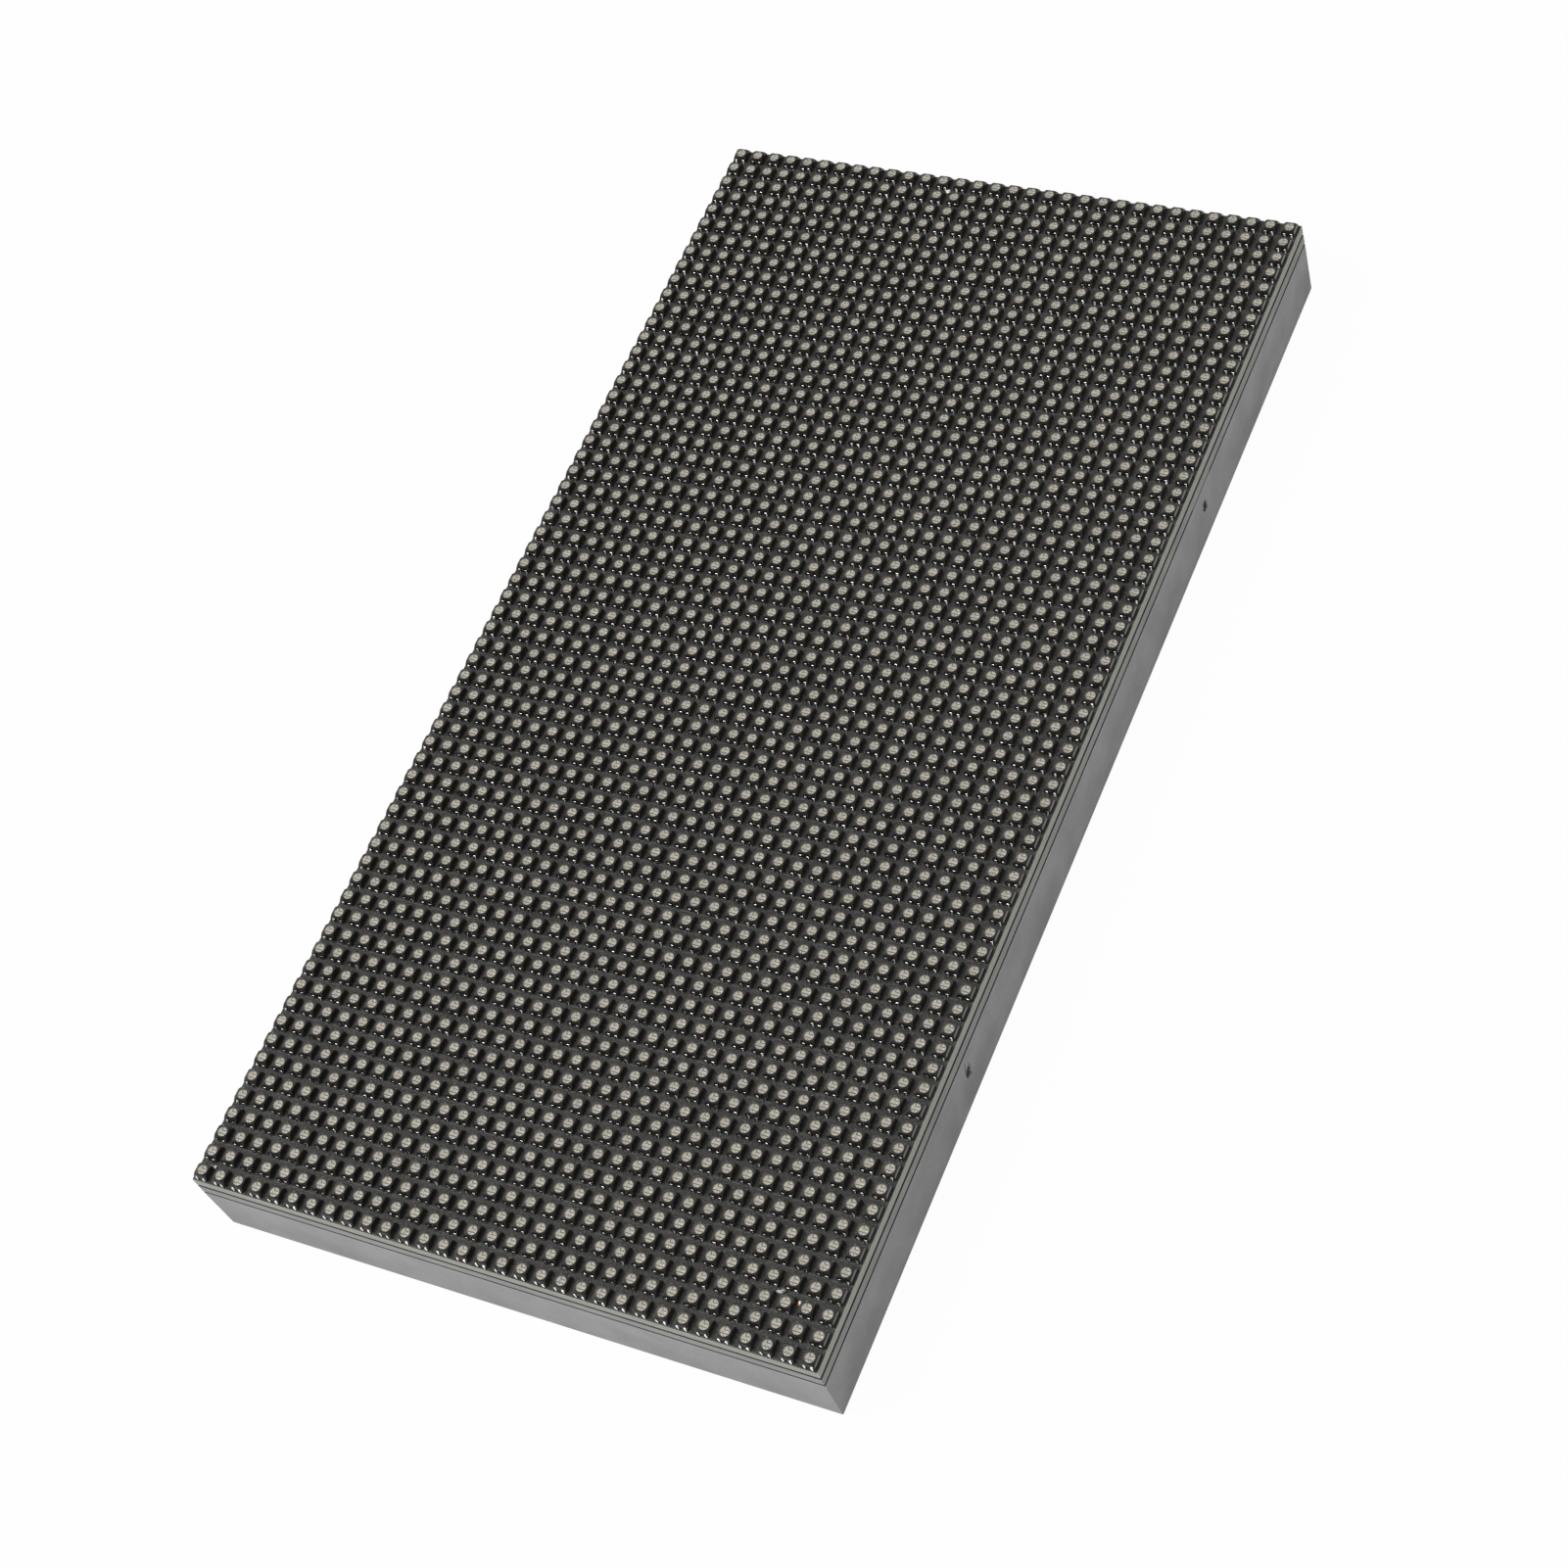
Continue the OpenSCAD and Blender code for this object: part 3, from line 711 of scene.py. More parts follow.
def resin_finish(leds, pitch, radius):
    """Milky resin with the lead frame's gaps and dies showing faintly through it, painted shade round its
    rim and painted light towards -Y
    """
    made = Finish("led_resin", leds.resin, 0.3)
    number, inside = made.cell(pitch)
    luck = made.axes(made.chance(number))
    along, across, _ = made.axes(inside)
    warm = made.times(made.span(along, -radius, radius * 0.4, 1.0, 0.0), luck[0])
    cool = made.times(made.span(along, -radius * 0.2, radius, 0.0, 1.0), luck[1])
    tone = made.mix(warm, rgba(leds.resin), rgba(leds.resin_warm))
    tone = made.mix(cool, tone, rgba(leds.resin_cool))
    blush = made.span(made.noise(0.4 * MM, 2), 0.4, 0.65, 0.0, 0.7)
    tone = made.mix(blush, tone, rgba(leds.resin_warm))
    dark = 0.0
    soft = 0.05 * MM
    for x, y, half_x, half_y, depth in LEAD_MARKS:
        spot = made.mark(along, across, (x * MM, y * MM), (half_x * MM, half_y * MM), soft)
        dark = made.math("MAXIMUM", made.times(spot, depth), dark)
    # Painted shade round the window's rim, shifted so that the -Y side stays lighter
    rim_shade_shift = (0.0, 0.06 * MM, 0.0)
    reach = made.node("ShaderNodeVectorMath", operation="LENGTH")
    flat = made.vector("MULTIPLY", inside, (1.0, 1.0, 0.0))
    made.feed(reach.inputs[0], made.vector("ADD", flat, rim_shade_shift))
    rim = made.span(reach.outputs["Value"], radius * 0.64, radius * 1.06, 0.0, 0.62)
    level = made.times(
        made.between(luck[2], 0.95, 1.04), made.drift(0.24 * MM, 2, 0.88, 1.24),
        # Painted light: each window lighter towards -Y and darker towards +Y
        made.span(across, -radius, radius, 1.09, 0.91),
        made.math("SUBTRACT", 1.0, made.math("MAXIMUM", dark, rim)),
    )
    made.give("Base Color", made.shaded(tone, level))
    made.give("Roughness", made.between(luck[0], 0.24, 0.4))
    return made.material


# The two terminals of one side: place across as a share of their spread, and scale
TERMINAL_SEATS = [(-0.58, (1.08, 1.0, 0.9)), (0.5, (0.95, 0.96, 0.94))]


def solder_finish(leds, pitch, board_top, outer_end):
    """Bright tin, darker over the bend, with painted shade towards the foot, and on the outermost
    terminals a painted highlight in a slanting streak with painted shade round it
    """
    made = Finish("terminal_tin", leds.solder, 0.2, metallic=1.0)
    x, _, _ = made.axes(made.place)
    _, across, height = made.axes(made.cell(pitch)[1])
    half = made.vector("FLOOR", made.vector("DIVIDE", made.place, (pitch, pitch / 2, 1.0)))
    luck = made.axes(made.chance(half))
    bright = made.between(luck[0], 0.8, 1.0)
    low_line, bend, tip = (board_top + leds.terminal_height * part for part in (0.4, 0.75, 0.95))
    soft = 0.02 * MM
    # Darker over the bend
    bend_dark = made.span(height, bend - soft, bend + soft, 1.0, 0.6)
    # Painted shade: the terminals darken towards the board, to half at the foot
    foot = made.span(height, board_top, low_line, 0.5, 1.0)
    inner = made.times(bend_dark, foot)
    # Painted highlight: a slanting bright streak across each outermost terminal
    lean = leds.terminal_width * 0.45
    highlight_half = leds.terminal_width * 0.55
    highlight_streak = 0.0
    for place, _ in TERMINAL_SEATS:
        middle = place * leds.terminal_spread
        head, tail = Vector((middle + lean, tip)), Vector((middle - lean, low_line))
        line = made.stroke(across, height, head, tail, highlight_half)
        highlight_streak = made.math("MAXIMUM", highlight_streak, line)
    # Painted shade: the outermost terminals are dark away from that streak
    outer = made.between(highlight_streak, 0.05, 1.1)
    outermost = made.math("LESS_THAN", x, outer_end)
    change = made.times(outermost, made.math("SUBTRACT", outer, inner))
    level = made.times(bright, made.math("ADD", inner, change))
    made.give("Base Color", made.shaded(made.tone, level))
    made.give("Roughness", made.between(luck[1], 0.12, 0.28))
    return made.grain(0.2 * MM, 0.006 * MM).material


def mask_finish(board):
    """Black solder mask over faint copper tracks"""
    made = Finish("board_mask", board.mask, 0.42, specular=0.35)
    x, y, _ = made.axes(made.place)
    track_step = 0.75 * MM
    track_length = 9 * MM
    cloud = 5 * MM
    tracks = 0.0
    for over, side in ((x, y), (y, x)):
        steps = made.math("DIVIDE", over, track_step)
        away = made.math("ABSOLUTE", made.math("SUBTRACT", made.math("FRACT", steps), 0.5))
        line = made.span(away, 0.1, 0.2, 1, 0)
        stretch = made.node("ShaderNodeCombineXYZ")
        made.feed(stretch.inputs[0], made.math("FLOOR", steps))
        made.feed(stretch.inputs[1], made.math("FLOOR", made.math("DIVIDE", side, track_length)))
        here = made.span(made.axes(made.chance(stretch.outputs[0]))[0], 0.42, 0.48)
        tracks = made.math("MAXIMUM", tracks, made.times(line, here))
    raised = made.between(tracks, 0.88, 1.4)
    specks = made.drift(0.3 * MM, 3, 0.45, 1.5)
    level = made.times(raised, specks, made.drift(cloud, 1, 0.9, 1.1))
    made.give("Base Color", made.shaded(made.tone, level))
    made.give("Roughness", made.drift(cloud, 1, 0.36, 0.5))
    made.bumps(tracks, 0.02 * MM)
    return made.grain(0.3 * MM, 0.004 * MM).material


def laminate_finish(board):
    """Cut glass laminate: thin layers, with pale fibres in them, over the dark mask of the back"""
    made = Finish("board_laminate", board.laminate, 0.7, specular=0.3)
    stretched = made.vector("MULTIPLY", made.place, (1.0, 1.0, 9.0))
    layers = made.noise(0.9 * MM, 3, stretched)
    low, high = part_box("led_board")
    _, y, z = made.axes(made.place)
    # The long +Y and -Y edges are lighter and the short -X and +X ends darker
    edge_side_level = made.span(made.math("ABSOLUTE", y), high.y - 0.3 * MM, high.y - 0.1 * MM, 0.9, 1.16)
    level = made.times(edge_side_level, made.span(layers, *NOISE_RANGE, 0.85, 1.12))
    mask_end = low.z + board.mask_rise
    soft = 0.03 * MM
    cut = made.span(z, mask_end - soft, mask_end + soft)
    made.give("Base Color", made.mix(cut, rgba(board.mask), made.shaded(made.tone, level)))
    return made.bumps(layers, 0.02 * MM).material


# Torn plastic at the two trimmed gates, with painted shadow along the edges of their pits, in millimetres
# on the front wall and on the floor of its pits:
# from and to a place along the wall and over the ground, half width, and how dark it shows
SCARS_AND_SHADOWS = [
    (-48.12, 8.6, -48.36, 7.2, 0.17, 0.75),
    (-48.0, 6.4, -48.1, 5.3, 0.17, 0.9),
    (-48.3, 5.3, -48.2, 5.25, 0.16, 0.8),
    (-47.2, 7.3, -47.38, 6.1, 0.17, 0.9),
    (-47.66, 5.1, -47.5, 4.98, 0.28, 1.0),
    (48.64, 6.8, 48.72, 5.3, 0.18, 0.95),
    (48.36, 6.3, 48.45, 5.4, 0.17, 0.8),
    (47.95, 5.25, 48.0, 5.25, 0.17, 0.9),
]


def frame_finish(settings):
    """Grey moulded plastic with a fine grain and faint flow marks, painted shade in the groove, in the gap
    and towards the floor, a painted highlight under the groove, and scars where it was trimmed, drawn
    partly as painted shadow
    """
    made = Finish("frame_plastic", settings.plastic, 0.5, specular=0.4)
    drawn = made.vector("MULTIPLY", made.place, (1.0, 1.0, 0.35))
    x, y, z = made.axes(made.place)
    # Torn plastic and painted shadow along the pits' edges
    torn_and_shadow = 0.0
    for x0, z0, x1, z1, half, depth in SCARS_AND_SHADOWS:
        line = made.stroke(x, z, Vector((x0, z0)) * MM, Vector((x1, z1)) * MM, half * MM)
        torn_and_shadow = made.math("MAXIMUM", torn_and_shadow, made.times(line, depth))
    wall_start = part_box("rear_frame")[0].y
    on_wall = made.span(y, wall_start + 1 * MM, wall_start + 1.5 * MM, 1.0, 0.0)
    torn_and_shadow = made.times(torn_and_shadow, on_wall)
    soft = settings.edge / 2
    foot = settings.groove_foot
    groove_half = settings.groove_height / 2
    over = made.span(z, foot, foot + groove_half)
    tone = made.mix(over, made.tone, rgba(settings.rim))
    flow = made.drift(14 * MM, 5, 0.97, 1.03, drawn)
    fine = made.drift(0.5 * MM, 3, 0.95, 1.05)
    # Painted shade: the wall darkens towards the floor
    dust = made.span(z, foot * 0.2, foot * 0.85, 0.87, 1.0)
    # Painted highlight: the plastic grows lighter towards the groove's lower edge and stays lighter above
    # it
    lip = made.span(z, foot - 1 * MM, foot - 0.4 * MM, 1.0, 1.08)
    tone = made.shaded(tone, made.times(flow, fine, dust, lip))
    # Painted shade deep in the groove and in the gap under the board
    groove = made.math("ABSOLUTE", made.math("SUBTRACT", z, foot + groove_half))
    deep = made.math(
        "MAXIMUM", made.span(groove, groove_half + soft, groove_half + 3 * soft, 1.0, 0.0),
        made.span(z, settings.gap_foot - 5 * soft, settings.gap_foot - 3 * soft),
    )
    tone = made.mix(deep, tone, rgba(settings.recess_shade))
    made.give("Base Color", made.mix(torn_and_shadow, tone, rgba(settings.scar_and_shadow)))
    made.polish(6 * MM, 0.44, 0.58)
    return made.grain(0.16 * MM, 0.008 * MM).bumps(torn_and_shadow, -0.05 * MM).material


def can_finish(board, boxes):
    """Drawn aluminium with a black printed patch at one side of each flat end"""
    made = Finish("can_aluminium", board.aluminium, 0.3, metallic=1.0)
    x, y, z = made.axes(made.place)
    patch = 0.0
    for low, high in boxes:
        radius = (high.x - low.x) / 2
        middle = (low.x + radius * 0.45, (low.y + high.y) / 2)
        near = made.mark(x, y, middle, (radius * 0.45, radius), 0.05 * MM)
        patch = made.math("MAXIMUM", patch, near)
    flat_end = made.span(z, boxes[0][0].z + 0.1 * MM, boxes[0][0].z + 0.3 * MM, 1.0, 0.0)
    patch = made.times(patch, flat_end)
    bare = made.shaded(made.tone, made.drift(2 * MM, 4, 0.92, 1.08))
    made.give("Base Color", made.mix(patch, bare, rgba(board.epoxy)))
    made.give("Metallic", made.math("SUBTRACT", 1.0, patch))
    made.polish(1.2 * MM, 0.24, 0.4)
    return made.grain(0.4 * MM, 0.003 * MM).material


# Shapes

# Width of the cup's floor as a share of its brim's
CUP_DRAFT = 0.96


def housing_shape(leds, width, height, cup_radius, quarter_sides=4):
    """A square LED housing whose sides lean in at the top, with cut corners and a cup for the resin"""
    bm = bmesh.new()
    half = width / 2
    square = [(half, half), (-half, half), (-half, -half), (half, -half)]
    foot, waist = [
        [bm.verts.new((x, y, z)) for x, y in square] for z in (0, height - leds.taper_height)
    ]
    top_x, top_y = half - leds.terminal_taper, half - leds.taper
    cut_x, cut_y = top_x - leds.corner_cut, top_y - leds.corner_cut
    crown = [
        (top_x, cut_y), (cut_x, top_y), (-cut_x, top_y), (-top_x, cut_y),
        (-top_x, -cut_y), (-cut_x, -top_y), (cut_x, -top_y), (top_x, -cut_y),
    ]
    crown = [bm.verts.new((x, y, height)) for x, y in crown]
    sides = 4 * quarter_sides
    brim = ring(bm, cup_radius, height, sides, QUARTER / 2)
    floor = ring(bm, cup_radius * CUP_DRAFT, height - leds.cup_depth, sides, QUARTER / 2)
    bm.faces.new(reversed(foot))
    for q in range(4):
        after = (q + 1) % 4
        left, right, beyond = crown[2 * q + 1], crown[2 * after], crown[2 * after + 1]
        bm.faces.new((foot[q], foot[after], waist[after], waist[q]))
        bm.faces.new((waist[q], waist[after], right, left))
        bm.faces.new((waist[after], beyond, right))
        arc = [brim[(q * quarter_sides + i) % sides] for i in range(quarter_sides + 1)]
        bm.faces.new([left, right, beyond] + arc[::-1])
    band(bm, brim, floor)
    bm.faces.new(floor)
    return finished_shape("housing", bm)


# Rings of a window's dome over its rim: radius as a share of the rim's, height as a share of the swell
DOME_RINGS = [(0.62, 0.86), (0.24, 1.0)]


def window_shape(radius, drop, swell, sides=16):
    """A lens of resin: a flat underside in the cup and a low dome over it"""
    bm = bmesh.new()
    rings = [ring(bm, radius, -drop, sides)]
    rings += [ring(bm, radius * r, swell * z, sides) for r, z in DOME_RINGS]
    bm.faces.new(reversed(rings[0]))
    for below, above in zip(rings, rings[1:]):
        band(bm, below, above)
    bm.faces.new(rings[-1])
    return finished_shape("window", bm)


# Section of a terminal and its solder: distance from the housing as a share of the fillet's reach,
# and height as a share of the bend's
TERMINAL_SECTION = [
    (0.0, 0.0), (0.0, 1.0), (0.18, 0.98), (0.32, 0.92), (0.9, 0.06), (1.0, 0.0),
]


def terminal_shape(leds):
    """A bent terminal on a housing's side, with its solder running out over the board towards -X"""
    bm = bmesh.new()
    section = [(-u * leds.fillet, z * leds.terminal_height) for u, z in TERMINAL_SECTION]
    collar = 0.3 * leds.terminal_height
    flare = 0.4
    extruded(bm, section, lambda z: leds.terminal_width * (1 + flare * max(0.0, 1 - z / collar)))
    return finished_shape("terminal", bm)


# How far a lead's pad runs out, as a share of the lead's reach
PAD_REACH = 1.25


def lead_shape(board, rise):
    """A gull-wing lead that leaves a chip's side towards +X and stands on its tinned pad"""
    bm = bmesh.new()
    t = board.lead_thickness
    reach = board.lead_reach
    width = 1 * MM
    root = -0.1 * MM
    pad_half = 0.65 * width
    outline = [
        (root, rise - t / 2), (0.22 * reach, rise - t / 2), (0.36 * reach, t * 0.2),
        (reach, t * 0.2), (reach, t * 1.2), (0.48 * reach, t * 1.2),
        (0.34 * reach, rise + t / 2), (root, rise + t / 2),
    ]
    extruded(bm, outline, lambda z: width)
    add_block(
        bm, Vector((0.26 * reach, -pad_half, 0)),
        Vector((PAD_REACH * reach, pad_half, board.pad_thickness)),
    )
    return finished_shape("lead", bm)


def block_shape(cut=0.0):
    """A block of one millimetre that stands on the origin, for scaling, with a chamfer in millimetres"""
    bm = bmesh.new()
    add_block(bm, Vector((-0.5, -0.5, 0)) * MM, Vector((0.5, 0.5, 1)) * MM, cut * MM)
    return finished_shape("block", bm)


def insert_profile(settings, outer, bore, low, high):
    """Half section of a threaded insert: knurl bands outside, thread inside"""
    lip = 0.3 * MM
    waist = 0.25 * MM
    middle = (low + high) / 2
    profile = [
        (outer - lip, low), (outer, low + lip), (outer, middle - 2 * waist),
        (outer - waist, middle - waist), (outer - waist, middle + waist),
        (outer, middle + 2 * waist), (outer, high - lip), (outer - lip, high),
    ]
    turns = int((high - low - 2 * lip) / settings.thread_pitch)
    root = bore + settings.thread_depth
    profile.append((root, high))
    for i in reversed(range(turns)):
        foot = low + lip + i * settings.thread_pitch
        for radius, part in ((bore, 0.75), (bore, 0.55), (root, 0.15)):
            profile.append((radius, foot + settings.thread_pitch * part))
    profile.append((root + lip / 2, low))
    return profile


# Operators

def settings_of(name):
    """One group of settings of the scene"""
    return getattr(bpy.context.scene, f"led_panel_{name}")


def joined_box(nodes):
    """Box round several CAD nodes"""
    return box_round([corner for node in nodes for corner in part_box(node)])


def middle_and_half(box):
    """Middle of a box and half its size"""
    low, high = box
    return (low + high) / 2, (high - low) / 2


def dress(node, edge, material, slot):
    """Makes the finished copy of a CAD node and ties it to the panel"""
    seated(dressed(node, edge, material), slot, node)


class LEDPANEL_OT_board(bpy.types.Operator):
    """Dresses the circuit board: black mask on both faces, bare laminate at the cut edge"""

    bl_idname = "led_panel.board"
    bl_label = "Board"

    def execute(self, context):
        board = settings_of("board")
        piece = dressed("led_board", board.edge, mask_finish(board), laminate_finish(board))
        for face in piece.data.polygons:
            face.material_index = 0 if abs(face.normal.z) > LEVEL_FACE else 1
        seated(piece, "board_black", "led_board")
        return {"FINISHED"}


class LEDPANEL_OT_leds(bpy.types.Operator):
    """Builds the LED housings, their resin windows and their soldered terminals"""

    bl_idname = "led_panel.leds"
    bl_label = "LEDs"

    def execute(self, context):
        leds = settings_of("leds")
        low, high = joined_box(HOUSING_NODES)
        span = high - low
        pitch = (span.x - span.y) / (leds.columns - leds.rows)
        width = span.x - (leds.columns - 1) * pitch
        window_low, window_high = joined_box(WINDOW_NODES)
        window = window_high.x - window_low.x - (leds.columns - 1) * pitch
        grid = {"columns": leds.columns, "rows": leds.rows, "pitch": pitch}
        housings = repeated(
            "led_housings", housing_shape(leds, width, span.z, window / 2),
            housing_finish(leds, pitch, width, low.z, span.z), [seat((0, 0, low.z))], **grid,
        )
        seated(housings, "led_black", *HOUSING_NODES)
        windows = repeated(
            "led_windows", window_shape(window / 2, leds.rim_drop, window_high.z - high.z),
            resin_finish(leds, pitch, window / 2), [seat((0, 0, high.z))], **grid,
        )
        seated(windows, "led_resin", *WINDOW_NODES)
        solder = solder_finish(leds, pitch, low.z, low.x)
        for side, x, turn, seed in (
            ("near", -width / 2, 0, leds.seed), ("far", width / 2, math.pi, leds.seed + 2),
        ):
            feet = []
            for across, scale in TERMINAL_SEATS:
                feet.append(seat((x, across * leds.terminal_spread, low.z), (0, 0, turn), scale))
            terminals = repeated(
                f"led_terminals_{side}", terminal_shape(leds), solder, feet,
                tilt=leds.terminal_tilt, sway=leds.terminal_sway, seed=seed, **grid,
            )
            seated(terminals, "contact_tin")
        return {"FINISHED"}


def crumb_shape():
    """A flat crumb with an uneven outline, one millimetre across, that lies on the origin"""
    bm = bmesh.new()
    bmesh.ops.create_icosphere(bm, subdivisions=2, radius=0.5 * MM)
    for vert in bm.verts:
        swell = 0.7 + 0.6 * noise.noise(vert.co / MM * 2.3)
        vert.co = vert.co * swell + Vector((0, 0, 0.4 * MM))
    return finished_shape("crumb", bm)


# Dust that lies on the board between the LEDs, in millimetres:
# place, size along, across and up, and turn in degrees
PALE_CRUMBS = [
    ((-87.25, -39.0), (1.05, 0.36, 1.1), -75),
    ((-86.95, -39.42), (0.7, 0.34, 1.1), -30),
    ((-87.78, -42.2), (0.75, 0.6, 0.9), 10),
    ((93.15, 9.3), (1.3, 0.9, 0.5), 20),
    ((-93.3, 45.4), (0.7, 0.6, 0.4), 40),
]
RED_CRUMBS = [((-87.92, -42.05), (0.72, 0.6, 0.4), 30)]


class LEDPANEL_OT_dust(bpy.types.Operator):
    """Lays the few crumbs of dust that lie between the LEDs"""

    bl_idname = "led_panel.dust"
    bl_label = "Dust"

    def execute(self, context):
        leds = settings_of("leds")
        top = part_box("led_board")[1].z
        kinds = (
            ("dust_pale", leds.dust_pale, PALE_CRUMBS, "header_white"),
            ("dust_red", leds.dust_red, RED_CRUMBS, "ceramic_tan"),
        )
        for name, tone, crumbs, slot in kinds:
            seats = []
            for (x, y), size, degrees in crumbs:
                seats.append(seat((x * MM, y * MM, top), (0, 0, math.radians(degrees)), size))
            finish = moulded(
                f"{name}_crumb", tone, roughness=0.7, grain=0.2 * MM, depth=0.03 * MM, specular=0.3,
            )
            seated(repeated(name, crumb_shape(), finish, seats), slot)
        return {"FINISHED"}


class LEDPANEL_OT_frame(bpy.types.Operator):
    """Dresses the moulded rear frame and the scars of its two trimmed gates, drawn partly as painted
    shadow
    """

    bl_idname = "led_panel.frame"
    bl_label = "Rear frame"

    def execute(self, context):
        settings = settings_of("frame")
        dress("rear_frame", settings.edge, frame_finish(settings), "frame_grey")
        return {"FINISHED"}


class LEDPANEL_OT_fasteners(bpy.types.Operator):
    """Builds the threaded inserts, and dresses the studs and the frame screws"""

    bl_idname = "led_panel.fasteners"
    bl_label = "Fasteners"

    def execute(self, context):
        settings = settings_of("frame")
        brass = plated("insert_brass", settings.brass, 0.26)
        boxes = boxes_of("threaded_inserts")
        low, high = boxes[0]
        mount = next(m for m in frame["record"]["mounts"] if m["name"] == "corner_inserts")
        bore = mount["dims"]["hole_r_mm"] * MM
        profile = insert_profile(settings, (high.x - low.x) / 2, bore, low.z, high.z)
        places = [seat((*middle_and_half(box)[0].xy, 0)) for box in boxes]
        shape = lathe("insert", profile, segments=32)
        inserts = repeated("threaded_inserts_finished", shape, brass, places)
        seated(inserts, "brass", "threaded_inserts")
        dress("board_studs", settings.small_edge, brass, "brass")
        steel = plated("screw_steel_black", settings.steel, 0.34)
        dress("frame_screws", settings.small_edge, steel, "screw_steel")
        return {"FINISHED"}


class LEDPANEL_OT_connectors(bpy.types.Operator):
    """Dresses the data headers, the power header and their contacts"""

    bl_idname = "led_panel.connectors"
    bl_label = "Connectors"

    def execute(self, context):
        settings = settings_of("frame")
        board = settings_of("board")
        black = moulded("header_plastic_black", settings.header, 0.46, specular=0.35)
        gold = plated("contact_gold_plate", settings.gold, 0.22)
        for side in ("in", "out"):
            dress(f"data_header_{side}", settings.small_edge, black, "header_black")
            dress(f"data_pins_{side}", settings.small_edge, gold, "contact_gold")
        nylon = moulded("header_nylon_white", settings.nylon, 0.4)
        dress("power_header", settings.small_edge, nylon, "header_white")
        tin = plated("power_contact_tin", board.tin, 0.3)
        dress("power_pins", settings.small_edge, tin, "contact_tin")
        return {"FINISHED"}


# Thickness of printed ink, in millimetres
INK = 0.02

# Leads on each long side of a chip, their pitch and their width, in millimetres
CHIP_LEADS = {
    "driver_chips": (12, 0.635, 0.26),
    "row_switch_chips": (4, 1.27, 0.42),
    "row_decoder_chips": (8, 1.27, 0.42),
    "line_buffer_chips": (10, 0.65, 0.24),
}


def lead_seats(box, back, count, step, width, rise):
    """Seats for the leads along both long sides of one chip on the board's back"""
    middle, half = middle_and_half(box)
    along_x = half.x > half.y
    tall = (back - middle.z) / rise
    seats = []
    for side in (-1, 1):
        for i in range(count):
            run = (i - (count - 1) / 2) * step * MM
            out = side * (half.y if along_x else half.x)
            place = (middle.x + run, middle.y + out) if along_x else (middle.x + out, middle.y + run)
            turn = side * QUARTER if along_x else (0 if side > 0 else math.pi)
            seats.append(seat((*place, back), (math.pi, 0, turn), (1, width, tall)))
    return seats


def outline_seats(box, back, board):
    """Seats for the four printed lines round one chip and its leads"""
    middle, half = middle_and_half(box)
    leads = board.lead_reach * PAD_REACH + board.silk_gap
    along_x = half.x > half.y
    reach_x = half.x + (board.silk_gap if along_x else leads)
    reach_y = half.y + (leads if along_x else board.silk_gap)
    line = board.silk_width / MM
    tall = (line, 2 * reach_y / MM + line, INK)
    wide = (2 * reach_x / MM - line, line, INK)
    seats = []
    for side in (-1, 1):
        seats.append(seat((middle.x + side * reach_x, middle.y, back), UPSIDE_DOWN, tall))
        seats.append(seat((middle.x, middle.y + side * reach_y, back), UPSIDE_DOWN, wide))
    return seats


class LEDPANEL_OT_chips(bpy.types.Operator):
    """Dresses the chips on the board's back and gives them their leads"""

    bl_idname = "led_panel.chips"
    bl_label = "Chips"

    def execute(self, context):
        board = settings_of("board")
        settings = settings_of("frame")
        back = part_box("led_board")[0].z
        epoxy = moulded("chip_epoxy", board.epoxy, 0.55, specular=0.35)
        rise = back - middle_and_half(boxes_of("driver_chips")[0])[0].z
        seats = []
        print_seats = []
        for node, (count, step, width) in CHIP_LEADS.items():
            dress(node, settings.small_edge / 2, epoxy, "chip_black")
            for box in boxes_of(node):
                seats += lead_seats(box, back, count, step, width, rise)
                print_seats += outline_seats(box, back, board)
        tin = plated("lead_tin", board.tin, 0.28)
        seated(repeated("chip_leads", lead_shape(board, rise), tin, seats), "contact_tin")
        ink = moulded("print_white", board.silk, 0.6, specular=0.2)
        seated(repeated("chip_print", block_shape(), ink, print_seats), "header_white")
        return {"FINISHED"}


# Length of a small part's tinned ends, and thickness of the tin on their pads, in millimetres
END_LENGTHS = {"ceramic_capacitors": 0.42, "set_resistors": 0.3}
END_PAD = 0.05
# Width and height of a small part's body as a share of the ends that wrap it
BODY_SHARE = 0.98


def end_seats(box, back, cap):
    """Seats for the body, and for the tinned ends and pads, of one small two-ended part"""
    middle, half = middle_and_half(box)
    size = 2 * half / MM
    body_size = (size.x - cap, size.y * BODY_SHARE, size.z * BODY_SHARE)
    pad_size = (cap * 1.9, size.y * 1.12, END_PAD)
    body = seat((middle.x, middle.y, back), UPSIDE_DOWN, body_size)
    ends = []
    for side in (-1, 1):
        x = middle.x + side * (size.x - cap) / 2 * MM
        pad_x = x + side * cap * 0.45 * MM
        ends.append(seat((x, middle.y, back), UPSIDE_DOWN, (cap, size.y, size.z)))
        ends.append(seat((pad_x, middle.y, back), UPSIDE_DOWN, pad_size))
    return body, ends


